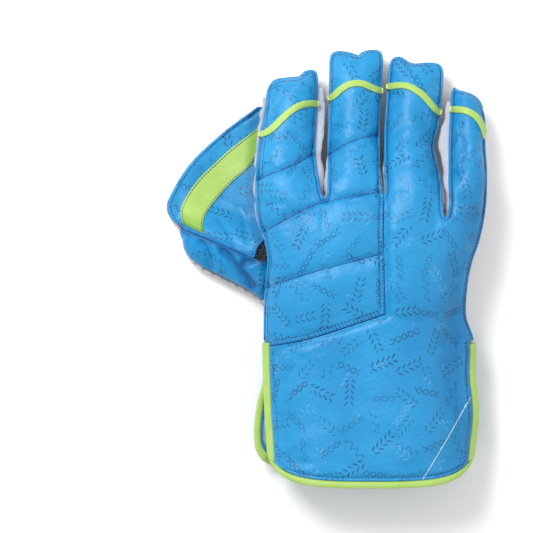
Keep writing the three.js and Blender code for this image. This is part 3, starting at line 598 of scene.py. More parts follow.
def sprigs(n, pitch, seed):
    """Scattered small printed motifs: sprigs of leaves, strings of rings, and wavy lines."""
    moved = n.vector("ADD", n.laid, (seed * 0.37, seed * 0.21, 0))
    flat = n.vector("MULTIPLY", moved, (1 / pitch, 1 / pitch, 0))
    inputs = {"Vector": flat, "Scale": 1.0, "Randomness": 0.45}
    voronoi = n.node("ShaderNodeTexVoronoi", inputs, voronoi_dimensions="2D")
    away = n.vector("SUBTRACT", flat, voronoi.outputs["Position"])
    chance = n.node("ShaderNodeSeparateColor", {"Color": voronoi.outputs["Color"]})
    angle = n.math("MULTIPLY", chance.outputs[0], 6.2832)
    turned = n.node("ShaderNodeVectorRotate", {"Vector": away, "Angle": angle}, rotation_type="Z_AXIS")
    spot = n.node("ShaderNodeSeparateXYZ", {"Vector": turned.outputs[0]})
    lx = n.math("MULTIPLY", spot.outputs[0], pitch * 1000)
    ly = n.math("MULTIPLY", spot.outputs[1], pitch * 1000)
    reach = n.math("MULTIPLY_ADD", chance.outputs[1], 3.5, 8.2)
    inside = n.math("LESS_THAN", n.math("ABSOLUTE", lx), reach)
    # Leaves in pairs along a stem.
    wx = n.math("WRAP", lx, 2.1, -2.1)
    leaf_y = n.math("SUBTRACT", n.math("ABSOLUTE", ly), 2.1)
    a = n.math("ADD", n.math("MULTIPLY", wx, 0.77), n.math("MULTIPLY", leaf_y, 0.64))
    b = n.math("SUBTRACT", n.math("MULTIPLY", leaf_y, 0.77), n.math("MULTIPLY", wx, 0.64))
    long = n.math("POWER", n.math("DIVIDE", a, 2.2), 2.0)
    size = n.math("ADD", long, n.math("POWER", n.math("DIVIDE", b, 0.68), 2.0))
    leaves = n.math("LESS_THAN", size, 1.0)
    # Rings on a string.
    rx = n.math("WRAP", lx, 2.5, -2.5)
    ring = n.math("SQRT", n.math("ADD", n.math("MULTIPLY", rx, rx), n.math("MULTIPLY", ly, ly)))
    rings = n.math("LESS_THAN", n.math("ABSOLUTE", n.math("SUBTRACT", ring, 1.85)), 0.42)
    # Wavy lines.
    swing = n.math("MULTIPLY", n.math("SINE", n.math("MULTIPLY", lx, 1.0)), 1.9)
    wavy = n.math("LESS_THAN", n.math("ABSOLUTE", n.math("SUBTRACT", ly, swing)), 0.6)
    pick = chance.outputs[2]
    first = n.math("MULTIPLY", leaves, n.math("LESS_THAN", pick, 0.45))
    second = n.math("MULTIPLY", rings, n.math("COMPARE", pick, 0.6, 0.15))
    third = n.math("MULTIPLY", wavy, n.math("GREATER_THAN", pick, 0.75))
    motif = n.math("ADD", n.math("ADD", first, second), third, clamp=True)
    return n.math("MULTIPLY", motif, inside), chance.outputs[1]


def leather(name, color, dark, roughness=0.42, printed=True, grain=1.0, coat=0.12, relief=0.0009, deep=None):
    n = Nodes(name)
    tone = n.between(n.noise(28, 3, 0.55), 0.3, 0.72)
    fine = n.between(n.noise(420, 2, 0.5), 0.35, 0.65)
    base = n.blend(n.math("MULTIPLY", tone, 0.55), color, dark)
    base = n.blend(n.math("MULTIPLY", fine, 0.1), base, dark)
    # Painted shade: the per-point shade attribute darkens the colour towards deep, a darker colour that stands in for
    # shade in hollows, creases and beside other parts.
    painted_shade = n.node("ShaderNodeAttribute", attribute_name="painted_shade").outputs["Fac"]
    base = n.blend(painted_shade, base, deep or linear(0, 104, 160))
    if printed:
        small, faint = sprigs(n, 0.0192, 1)
        ink = n.math("MULTIPLY", small, n.math("MULTIPLY_ADD", faint, 0.4, 0.4))
        worn = n.between(n.noise(260, 2, 0.6), 0.3, 0.5)
        ink = n.math("MULTIPLY", ink, n.math("MULTIPLY_ADD", worn, 0.6, 0.4))
        base = n.blend(ink, base, linear(18, 66, 104))
        pale, _ = sprigs(n, 0.031, 6)
        rubbed = n.between(n.noise(60, 2, 0.5), 0.48, 0.6, 0.0, 0.13)
        base = n.blend(n.math("MULTIPLY", pale, rubbed), base, linear(176, 206, 228))
    grains = n.cells(1150, feature="SMOOTH_F1")
    drift = n.node("ShaderNodeTexNoise", {"Vector": n.place, "Scale": 90.0}).outputs["Color"]
    warped = n.vector("ADD", n.place, n.vector("MULTIPLY", drift, (0.006, 0.006, 0.006)))
    creases = n.cells(170, feature="DISTANCE_TO_EDGE", where=warped)
    crease = n.between(creases, 0.0, 0.12)
    n.bumps((n.noise(85, 3, 0.6), relief), (crease, 0.00006 * grain), (grains, 0.00011 * grain))
    shine = n.math("MULTIPLY_ADD", n.noise(160, 3, 0.6), 0.2, roughness - 0.1)
    return n.finish(
        Base_Color=base, Roughness=shine, Coat_Weight=coat, Coat_Roughness=0.35, Specular_IOR_Level=0.35
    )


BLUE = linear(30, 144, 199)
DEEP_BLUE = linear(14, 122, 180)
LIME = linear(166, 198, 104)
DEEP_LIME = linear(148, 184, 86)
# Where a leather is given a last colour, that is the colour of its painted shade.
blue = leather("blue_leather_grain", BLUE, DEEP_BLUE, 0.46, coat=0.06)
thumb_blue = leather(
    "thumb_leather_grain", linear(8, 146, 206), linear(0, 114, 174), 0.5, True, 0.8, 0.0, 0.0006, linear(0, 84, 142)
)
palm_blue = leather("palm_blue_leather_grain", linear(14, 118, 176), linear(8, 96, 152), 0.45, coat=0.05)
plain_blue = leather("plain_blue_leather_grain", linear(14, 118, 176), linear(8, 92, 148), 0.45, False)
lime = leather("lime_leather_grain", LIME, DEEP_LIME, 0.5, False, 1.0, 0.04, 0.0004, linear(104, 156, 36))
grey = leather("grey_leather_grain", linear(198, 202, 212), linear(150, 156, 172), 0.6, False, 1.6, 0.0)
side_grey = leather("side_leather_grain", linear(186, 180, 186), linear(146, 140, 150), 0.65, False, 1.6, 0.0)
pale_tab = leather("pale_tab_leather_grain", linear(204, 222, 168), linear(180, 206, 140), 0.5, False, 1.0, 0.0)


def thread(name, color):
    n = Nodes(name)
    twist = n.node("ShaderNodeTexWave", {"Vector": n.place, "Scale": 900.0, "Distortion": 2.0})
    shade = n.between(n.noise(700, 2, 0.5), 0.3, 0.7)
    dark = tuple(v * 0.55 for v in color[:3]) + (1,)
    n.bumps((twist.outputs["Fac"], 0.00008))
    return n.finish(Base_Color=n.blend(shade, dark, color), Roughness=0.55, Sheen_Weight=0.2)


navy = thread("navy_thread", linear(20, 44, 138))
brown = thread("brown_thread", linear(88, 64, 46))


def cloth(name, color, dark, weave, depth):
    n = Nodes(name)
    wave = lambda axis: n.node(
        "ShaderNodeTexWave",
        {"Vector": n.place, "Scale": weave, "Distortion": 0.6, "Detail": 1.0, "Detail Scale": 3.0},
        bands_direction=axis,
    ).outputs["Fac"]
    threads = n.math("MAXIMUM", wave("X"), wave("Y"))
    spots = n.between(n.noise(60, 3, 0.6), 0.3, 0.7)
    tone = n.math("MULTIPLY_ADD", spots, 0.5, n.math("MULTIPLY", threads, 0.4), clamp=True)
    n.bumps((threads, depth), (n.noise(150, 3, 0.6), 0.0004))
    return n.finish(Base_Color=n.blend(tone, dark, color), Roughness=0.9, Sheen_Weight=0.25)


grey_cloth = cloth("grey_cloth_weave", linear(176, 180, 186), linear(128, 132, 140), 230, 0.00022)
pale_cloth = cloth("pale_lining_weave", linear(226, 222, 214), linear(190, 186, 178), 190, 0.0002)


def rings_rubber():
    """Rubber with a close pattern of moulded rings."""
    n = Nodes("pimpled_rubber_rings")
    pitch, ring, half = 0.0044, 0.00115, 0.00033
    long = pitch * math.sqrt(3)
    flat = n.vector("MULTIPLY", n.laid, (1, 1, 0))

    def cell(offset):
        moved = n.vector("ADD", flat, offset)
        wrapped = n.vector("WRAP", moved, (pitch / 2, long / 2, 1), (-pitch / 2, -long / 2, -1))
        return n.vector("LENGTH", wrapped, out="Value")

    away = n.math("MINIMUM", cell((0, 0, 0)), cell((pitch / 2, long / 2, 0)))
    edge = n.math("ABSOLUTE", n.math("SUBTRACT", away, ring))
    raised = n.between(edge, half * 0.35, half, 1.0, 0.0)
    hole = n.between(away, ring * 0.35, ring * 0.75, 1.0, 0.0)
    dirt = n.between(n.noise(35, 4, 0.6), 0.35, 0.75)
    base = n.blend(dirt, linear(222, 218, 222), linear(200, 194, 198))
    # The holes inside the rings are painted darker, as painted shade in those hollows, and the raised rings are a
    # little darker as well.
    dark = n.math("MULTIPLY", n.math("MULTIPLY_ADD", hole, 0.6, n.math("MULTIPLY", raised, 0.25)), 0.8)
    base = n.blend(dark, base, linear(128, 122, 128))
    level = n.math("SUBTRACT", raised, n.math("MULTIPLY", hole, 0.7))
    n.bumps((level, 0.0005), (n.noise(500, 2, 0.5), 0.0001))
    return n.finish(Base_Color=base, Roughness=0.78, Subsurface_Weight=0.05, Subsurface_Scale=0.002)


rubber = rings_rubber()


def silver():
    n = Nodes("silver_line_print")
    tone = n.between(n.noise(500, 2, 0.5), 0.3, 0.7)
    n.bumps((n.noise(900, 1, 0.5), 0.00005))
    return n.finish(
        Base_Color=n.blend(tone, linear(160, 178, 200), linear(200, 210, 224)), Roughness=0.4, Metallic=0.2
    )


silver_print = silver()

# The back: one grid of columns across the fingers and rows from hem to fingertips, cut in two panels.

EDGE_STEPS = np.array([0, 0.15, 0.4, 0.8, 1.3, 1.9, 2.4, 2.9, 3.5, 4.3, 5.4])
INNER = 13
LIME_ROOM = BINDING + 2 * CLEAR
BINDING_TOP = 0.985


def hem(place):
    return 0.075 * np.abs(place) ** 3 + 0.16 * (1 - np.sqrt(np.maximum(0, 1 - np.abs(place) ** 8)))


def palm_hem(place):
    place = np.abs(place)
    corner = 0.12 * (1 - np.sqrt(np.maximum(0, 1 - place**12)))
    return 0.07 * smooth(place, 0.4, 0.88) + 0.06 * place**3 + corner


def seam(place):
    return mix(0.962, 1.095, np.clip((place + 1) / 1.12, 0, 1))


def column_x(finger, at, binding, rounded=True):
    """Places of a finger's columns at stations, one station for each column."""
    left, right = sides(finger, at, rounded)
    room = binding * (1 - smooth(at, BINDING_TOP, BINDING_TOP + 0.015))
    left = left + (room if finger == 0 else 0)
    right = right - (room if finger == 3 else 0)
    count = len(EDGE_STEPS)
    total = 2 * count + INNER
    k = np.arange(total)
    width = right - left
    scale = np.minimum(1, width / (2.6 * EDGE_STEPS[-1]))
    steps = EDGE_STEPS * 1.0
    offset = np.where(k < count, steps[np.minimum(k, count - 1)], 0) * scale
    mirrored = np.where(k >= total - count, steps[np.minimum(total - 1 - k, count - 1)], 0) * scale
    share = (k - count + 1) / (INNER + 1)
    inner_left, inner_right = left + EDGE_STEPS[-1] * scale, right - EDGE_STEPS[-1] * scale
    middle = mix(inner_left, inner_right, share)
    return np.where(k < count, left + offset, np.where(k >= total - count, right - mirrored, middle))


PER = 2 * len(EDGE_STEPS) + INNER
CUFF_STEPS = np.concatenate([EDGE_STEPS[:-1] / CUFF_LENGTH, np.linspace(0.055, 0.97, 42), [0.98, 0.989, 0.995, 1]])
HAND_STEPS = np.concatenate([[0.004, 0.01, 0.02, 0.035], np.linspace(0.06, 1, 46)])
CLEFT_STEPS = np.linspace(0, 1, 22)[1:]
TIP_STEPS = np.concatenate([np.linspace(0, 0.93, 66)[1:], 1 - EDGE_STEPS[:-2][::-1] / 82])


def back_grid(binding):
    """Points of the whole back's middle, with the number of the row at the seam."""
    low = np.array(min(BOTTOMS))
    grid = []
    kinds = (
        [("cuff", v) for v in CUFF_STEPS]
        + [("hand", v) for v in HAND_STEPS]
        + [("cleft", v) for v in CLEFT_STEPS]
        + [("finger", v) for v in TIP_STEPS]
    )
    columns = [column_x(f, np.full(PER, 0.5), binding) for f in range(4)]
    for kind, v in kinds:
        row = []
        for finger in range(4):
            spot = across(columns[finger], 0.5)
            tip = 0
            share = np.zeros(PER)
            if kind == "cuff":
                low_x = column_x(finger, np.full(PER, 0.2), binding)
                start = hem(across(low_x, 0.2)) + binding / CUFF_LENGTH
                at = mix(start, seam(spot), v)
            elif kind == "hand":
                at = mix(seam(spot), low, v)
            elif kind == "cleft":
                at = np.full(PER, mix(low, CROTCH, v))
            else:
                x0 = column_x(finger, np.full(PER, 1.75), binding)
                where = (x0 - x0[0]) / (x0[-1] - x0[0])
                tip = along(TIPS[finger], "tip", where)
                at = mix(CROTCH, tip, v)
                share = np.full(PER, v)
            x = column_x(finger, at, binding)
            row.append(np.stack([x, length_at(at), back_height(finger, x, at, share)], axis=1))
        grid.append(np.concatenate(row))
    return np.array(grid), len(CUFF_STEPS) - 1


# Quilting lines across the index and middle fingers and the knuckles, in millimetres.
QUILTS = [
    [(-82, 225), (-66, 231), (-50, 238.4), (-39.5, 245.5)],
    [(-31.5, 242.5), (-20, 249.5), (-8, 254.5), (7.5, 258)],
    [(-81.5, 184.8), (-66, 193), (-47, 203), (-35, 207.4), (-16, 211.5), (8, 215.5)],
    [(-78.5, 145), (-50, 154.5), (-20, 163), (8.5, 170.4)],
]


# Dents of the padding: place, half sizes, turn and depth, in millimetres.
DENTS = [
    (38, 268, 5, 12, 0.4, 2.2), (64, 246, 6, 10, 0.2, 1.8), (79, 252, 5, 7, 0.5, 1.5),
    (-70, 288, 7, 6, 0.3, 1.6), (-25, 272, 6, 14, -0.2, 1.2), (-56, 189, 9, 16, 0.5, 2.0),
    (-50, 141, 12, 14, 0.2, 1.8), (56, 78, 9, 26, 0.15, 1.8), (-48, 60, 10, 24, -0.1, 1.4),
    (10, 36, 30, 9, 0.1, 1.2), (60, 150, 8, 22, 0.0, 1.5), (30, 120, 22, 8, 0.3, 1.2),
    (44, 190, 5, 26, -0.25, 1.5), (22, 232, 4, 20, 0.15, 1.3), (72, 205, 6, 16, 0.3, 1.6),
    (68, 128, 12, 4, 0.5, 1.6), (58, 108, 16, 4, 0.35, 1.4), (-62, 118, 10, 4, -0.5, 1.2),
]


def back_relief(x, y, distance, panel):
    """How far the padded back stands out from its plain form."""
    groove = -0.75 * bump(distance - 2.5, 0.75)
    rise = 0.35 * bump(distance - 5.5, 2.6)
    pucker = 0.45 * waves(x, y, 5.2, 3) * smooth(distance, 2.4, 4.5) * (1 - smooth(distance, 8, 15))
    rim = 0.25 * waves(x, y, 4.5, 4) * (1 - smooth(distance, 2.2, 3.2))
    soft = 1.5 * waves(x, y, 38, 5) + 0.7 * waves(x, y, 17, 6)
    for dent_x, dent_y, wide, long, turn, deep in DENTS:
        c, s = math.cos(turn), math.sin(turn)
        u = ((x - dent_x) * c + (y - dent_y) * s) / wide
        v = ((y - dent_y) * c - (x - dent_x) * s) / long
        soft = soft - deep * np.exp(-(u * u) - v * v)
    soft = soft * smooth(distance, 2.5, 9)
    relief = groove + rise + pucker + rim + soft + padding_at(x, y) * smooth(distance, 2.5, 6)
    if panel == "overlay":
        for line in QUILTS:
            away = to_path(x, y, line)
            relief += -1.5 * bump(away, 1.5) - 1.3 * bump(away, 6.5)
            relief += 0.4 * waves(x, y, 4.6, 7) * bump(away - 3.2, 2.2)
    return relief


SEAM_DOWN = [(x, float(length_at(seam(across(x, 0.96))))) for x in np.linspace(-78, 11, 30)]
SEAM_UP = [(float(along(CLEFTS[1], "x", a) * half_width(a)), float(length_at(a))) for a in np.linspace(1.09, 1.5, 30)]
CLOTH_STEP = 3.0
# The farthest that the padding pushes the leather out.
PADDING_LIMIT = 2.4


def blown_up():
    """How far the padding pushes the back's leather out between its seams.

    The back is simulated as a cloth that is pinned along its seams and blown up from inside."""
    place_x, place_y = np.meshgrid(np.arange(-90, 92, CLOTH_STEP), np.arange(3, 321, CLOTH_STEP))
    at = station_at(place_y)
    owner = np.full(place_x.shape, -1)
    level = np.zeros(place_x.shape)
    for finger in range(4):
        left, right = sides(finger, at, True)
        tip = along(TIPS[finger], "tip", np.clip((place_x - left) / (right - left), 0, 1))
        share = np.clip((at - CROTCH) / (tip - CROTCH), 0, 0.99)
        inside = (place_x >= left) & (place_x <= right) & (at <= tip)
        inside &= at >= hem(across(place_x, at)) + BINDING / CUFF_LENGTH
        level[inside] = back_height(finger, place_x, at, share)[inside]
        owner[inside] = finger
    corners = np.stack([owner[:-1, :-1], owner[:-1, 1:], owner[1:, 1:], owner[1:, :-1]], axis=-1)
    low, high = corners.min(axis=-1), corners.max(axis=-1)
    cleft = np.array(BOTTOMS)[np.clip(low, 0, 2)]
    has = (low >= 0) & ((low == high) | (at[1:, 1:] < cleft))
    cells = quads(place_x.shape, has)
    used, count = np.unique(cells, return_counts=True)
    number = np.full(place_x.size, -1)
    number[used] = np.arange(len(used))
    rest = np.stack([place_x.ravel(), place_y.ravel(), level.ravel()], axis=1)[used]
    held = count < 4
    for line in [SEAM_DOWN, SEAM_UP]:
        held |= to_path(rest[:, 0], rest[:, 1], line) < 2.4
    for line in QUILTS:
        held |= to_path(rest[:, 0], rest[:, 1], line) < 1.7
    mesh = bpy.data.meshes.new("blown_back")
    mesh.from_pydata((rest / 100).tolist(), [], number[cells].tolist())
    obj = bpy.data.objects.new("blown_back", mesh)
    scene = bpy.context.scene
    scene.collection.objects.link(obj)
    group = obj.vertex_groups.new(name="held")
    group.add(np.flatnonzero(held).tolist(), 1.0, "REPLACE")
    cloth_settings = obj.modifiers.new("cloth", "CLOTH").settings
    cloth_settings.quality = 6
    cloth_settings.mass = 0.05
    cloth_settings.tension_stiffness = 40
    cloth_settings.compression_stiffness = 40
    cloth_settings.shear_stiffness = 15
    cloth_settings.bending_stiffness = 0.6
    cloth_settings.shrink_min = -0.012
    cloth_settings.vertex_group_mass = "held"
    cloth_settings.use_pressure = True
    cloth_settings.uniform_pressure_force = 4
    cloth_settings.effector_weights.gravity = 0
    normal = np.empty(len(rest) * 3)
    mesh.vertices.foreach_get("normal", normal)
    for frame_number in range(1, 21):
        scene.frame_set(frame_number)
    puffed = obj.evaluated_get(bpy.context.evaluated_depsgraph_get()).to_mesh()
    moved = np.empty(len(rest) * 3)
    puffed.vertices.foreach_get("co", moved)
    push = ((moved.reshape(-1, 3) * 100 - rest) * normal.reshape(-1, 3)).sum(axis=1)
    scene.frame_set(1)
    bpy.data.objects.remove(obj)
    bpy.data.meshes.remove(mesh)
    field = np.zeros(place_x.size)
    field[used] = PADDING_LIMIT * np.tanh(np.nan_to_num(push) / PADDING_LIMIT)
    return field.reshape(place_x.shape)


PADDING = blown_up()


def padding_at(x, y):
    u = np.clip((x + 90) / CLOTH_STEP, 0, PADDING.shape[1] - 1.001)
    v = np.clip((y - 3) / CLOTH_STEP, 0, PADDING.shape[0] - 1.001)
    i, j = v.astype(int), u.astype(int)
    f, g = v - i, u - j
    low = mix(PADDING[i, j], PADDING[i, j + 1], g)
    high = mix(PADDING[i + 1, j], PADDING[i + 1, j + 1], g)
    return mix(low, high, f)


def panel_of(grid, has, wall, lift, panel):
    """Top and bottom of a padded panel, with the loops of its edge."""
    rows, columns, _ = grid.shape
    cells = quads((rows, columns), has)
    flat_points, flat = welded(np.round(grid[..., :2].reshape(-1, 2), 2))
    keep = cells[(flat[cells[:, 0]] != flat[cells[:, 1]]) | (flat[cells[:, 2]] != flat[cells[:, 3]])]
    loose = edges_of(flat[keep])
    pairs = np.array(loose)
    starts, ends = flat_points[pairs[:, 0]], flat_points[pairs[:, 1]]
    points = grid[..., :2].reshape(-1, 2)
    used = np.zeros(len(points), bool)
    used[np.unique(cells)] = True
    distance = np.full(len(points), 50.0)
    distance[used] = to_segments(points[used], starts, ends)
    distance[np.isin(flat, pairs)] = 0
    distance = distance.reshape(rows, columns)
    across_sheet = []
    for finger in range(columns // PER):
        across_sheet.append(normals(grid[:, finger * PER : (finger + 1) * PER]))
    n = np.concatenate(across_sheet, axis=1)
    for seam_column in range(PER, columns, PER):
        same = np.linalg.norm(grid[:, seam_column] - grid[:, seam_column - 1], axis=1) < 0.01
        shared = n[:, seam_column] + n[:, seam_column - 1]
        shared /= np.linalg.norm(shared, axis=1, keepdims=True)
        n[same, seam_column] = shared[same]
        n[same, seam_column - 1] = shared[same]
    relief = back_relief(grid[..., 0], grid[..., 1], distance, panel)
    half = wall / 2 * rolled(distance, 1.3)
    shown = relief * smooth(distance, 0, 1.2)
    at = station_at(grid[..., 1])
    # Painted shade: the right side of the hand and cuff and the hollows of the relief are painted darker; broad random
    # blotches add a darker tone as well.
    right_side_shade = smooth(across(grid[..., 0], at), 0.25, 1.0) * (1 - smooth(at, 1.35, 1.65))
    blots = smooth(waves(grid[..., 0], grid[..., 1], 44, 8), -0.1, 0.8)
    painted_shade = np.clip(0.45 * right_side_shade + 0.4 * np.clip(-relief / 3.5, 0, 1) + 0.2 * blots, 0, 0.85)
    top = grid + n * (lift + half + shown)[..., None]
    bottom = grid + n * (lift - half)[..., None]
    loops = [flat_points[loop] for loop in loops_of(loose)]
    return top, bottom, loops, (starts, ends), painted_shade


grid, seam_row = back_grid(LIME_ROOM)
rows, columns, _ = grid.shape
r, c = np.meshgrid(np.arange(rows - 1), np.arange(columns - 1), indexing="ij")
station = station_at(grid[:-1, :-1, 1])
bridge = (c + 1) % PER == 0
which = np.minimum((c + 1) // PER - 1, 2)
bottoms = np.array(BOTTOMS)[which]
closed = station_at(grid[1:, :-1, 1]) <= bottoms + 0.0005
has_back = ~bridge | closed
base_has = has_back & ((r < seam_row) | (c >= 2 * PER))
overlay_has = has_back & (r >= seam_row) & (c < 2 * PER - 1)

parts = {}
seams = {}
for name, has, wall, lift, slot_name in (
    ("back_base", base_has, BACK_WALL, 0, "base"),
    ("back_overlay", overlay_has, OVERLAY_WALL, 0.4, "overlay"),
):
    top, bottom, loops, border, painted_shade = panel_of(grid, has, wall, lift, slot_name)
    piece = shell(name + "_leather", top, bottom, blue, "blue_leather", has, painted_shade)
    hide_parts(name)
    parts[name] = (piece, top, has)
    seams[name] = (loops, border)


def tree_of(*objects):
    """A tree to drop points on to the surfaces of pieces, in millimetres of the part's source."""
    points, faces = [], []
    for obj in objects:
        start = len(points)
        points += [Vector(np.array(v.co) * 1000 + ORIGIN) for v in obj.data.vertices]
        faces += [[start + i for i in p.vertices] for p in obj.data.polygons]
    return BVHTree.FromPolygons(points, faces)


def dropped(tree, path, up=True):
    """Points of a path laid on a surface from above or from below, and the way across it there."""
    spots, ways = [], []
    for x, y in np.asarray(path)[:, :2]:
        start, way = (Vector((x, y, 200)), Vector((0, 0, -1))) if up else (Vector((x, y, -50)), Vector((0, 0, 1)))
        spot, normal, _, _ = tree.ray_cast(start, way)
        if spot is None:
            spots.append([np.nan] * 3)
            ways.append([0, 0, 1])
            continue
        if normal.dot(way) > 0:
            normal = -normal
        spots.append(list(spot))
        ways.append(list(normal))
    return np.array(spots), np.array(ways)


ROUND = [(math.cos(a), math.sin(a)) for a in np.linspace(0, 2 * math.pi, 6, endpoint=False)]


class Stitches:
    """Many short stitches in one mesh."""

    def __init__(self):
        self.points, self.faces = [], []

    def stitch(self, a, b, up, width, high):
        along_it = (b - a) / max(np.linalg.norm(b - a), 1e-6)
        side = np.cross(up, along_it)
        side /= max(np.linalg.norm(side), 1e-6)
        start = len(self.points)
        for share, size, lift in ((0, 0.25, -0.35), (0.18, 0.85, 0.35), (0.5, 1, 0.6), (0.82, 0.85, 0.35), (1, 0.25, -0.35)):
            middle = a + (b - a) * share + up * high * lift
            for u, v in ROUND:
                self.points.append(middle + side * width * size * u + up * high * size * v)
        sides_count = len(ROUND)
        for ring in range(4):
            for k in range(sides_count):
                i, j = start + ring * sides_count + k, start + ring * sides_count + (k + 1) % sides_count
                self.faces.append([i, j, j + sides_count, i + sides_count])
        self.faces.append([start + k for k in reversed(range(sides_count))])
        self.faces.append([start + 4 * sides_count + k for k in range(sides_count)])

    def row(self, tree, path, pitch=2.3, length=2.05, width=0.3, high=0.24, up=True, zigzag=0.0):
        dense, _ = dropped(tree, resample(path, 0.5), up)
        dense = dense[~np.isnan(dense[:, 0])]
        if len(dense) < 4:
            return
        marks = resample(dense, pitch)
        if len(marks) < 2:
            return
        ahead = np.gradient(marks[:, :2], axis=0)
        ahead /= np.maximum(np.linalg.norm(ahead, axis=1, keepdims=True), 1e-6)
        swing = np.stack([-ahead[:, 1], ahead[:, 0]], axis=1)
        turn = np.where(np.arange(len(marks)) % 2, 1, -1)[:, None] * zigzag
        a = marks[:, :2] - ahead * length / 2 - swing * turn
        b = marks[:, :2] + ahead * length / 2 + swing * turn
        first, ways = dropped(tree, a, up)
        second, _ = dropped(tree, b, up)
        for p, q, n in zip(first, second, ways):
            if np.isnan(p[0]) or np.isnan(q[0]):
                continue
            size = np.linalg.norm(q - p)
            if size < length * 3:
                middle, reach = (p + q) / 2, (q - p) / size * length * 0.5
                self.stitch(middle - reach, middle + reach, n, width, high)

    def build(self, name, material, slot):
        if not self.points:
            return None
        return place(name, np.array(self.points), self.faces, material, slot)


def inside_line(loop, border, distance, where=None, step=0.8):
    """Runs of points at a distance inside an edge loop, kept only where that is the nearest edge."""
    closed_loop = np.concatenate([loop, loop[:1]])
    path = resample(closed_loop, step)
    ahead = np.roll(path, -2, axis=0) - np.roll(path, 2, axis=0)
    ahead /= np.maximum(np.linalg.norm(ahead, axis=1, keepdims=True), 1e-6)
    inner = path + np.stack([-ahead[:, 1], ahead[:, 0]], axis=1) * distance
    away = to_segments(inner, *border)
    good = away > distance - 0.2
    if where is not None:
        good &= where(inner[:, 0], inner[:, 1])
    runs, run = [], []
    for ok, point in zip(good, inner):
        if ok:
            if run and np.linalg.norm(point - run[-1]) > 4 * step:
                runs.append(run)
                run = []
            run.append(point)
    if run:
        runs.append(run)
    return [np.array(item) for item in runs if len(item) > 4]


navy_stitches = Stitches()
cuff_top = CUFF_LENGTH * 0.985
on_fingers = lambda x, y: y > cuff_top
base_tree = tree_of(parts["back_base"][0])
overlay_tree = tree_of(parts["back_overlay"][0])
seam_x = lambda y: along(CLEFTS[1], "x", station_at(y)) * half_width(station_at(y))


def beside_overlay(x, y):
    """Whether a place is close to the seam between the two panels."""
    near_side = (np.abs(x - seam_x(y)) < 5) & (y < length_at(BOTTOMS[1])) & (y > 100)
    place_across = across(x, 0.5)
    near_low = (np.abs(station_at(y) - seam(place_across)) < 0.04) & (x < seam_x(y) + 5)
    return near_side | near_low


for loop in seams["back_base"][0]:
    border = seams["back_base"][1]
    for run in inside_line(loop, border, 2.5, lambda x, y: on_fingers(x, y) & ~beside_overlay(x, y)):
        navy_stitches.row(base_tree, run)
    for run in inside_line(loop, border, 2.6, lambda x, y: ~on_fingers(x, y) & ~beside_overlay(x, y)):
        navy_stitches.row(base_tree, run, 2.4, 1.5)
for loop in seams["back_overlay"][0]:
    border = seams["back_overlay"][1]
    for run in inside_line(loop, border, 2.5, lambda x, y: ~beside_overlay(x, y)):
        navy_stitches.row(overlay_tree, run)
    for offset in (1.2, 3.7):
        for run in inside_line(loop, border, offset, beside_overlay):
            navy_stitches.row(overlay_tree, run, 2.7, 1.9)
second_y = np.linspace(213.5, 284, 60)
second_x = sides(0, station_at(second_y))[0] + mix(4.9, 2.7, smooth(second_y, 250, 284))
navy_stitches.row(overlay_tree, np.stack([second_x, second_y], axis=1))
for line in QUILTS:
    curve = spline(line, np.linspace(0, len(line) - 1, 60))
    navy_stitches.row(overlay_tree, curve)
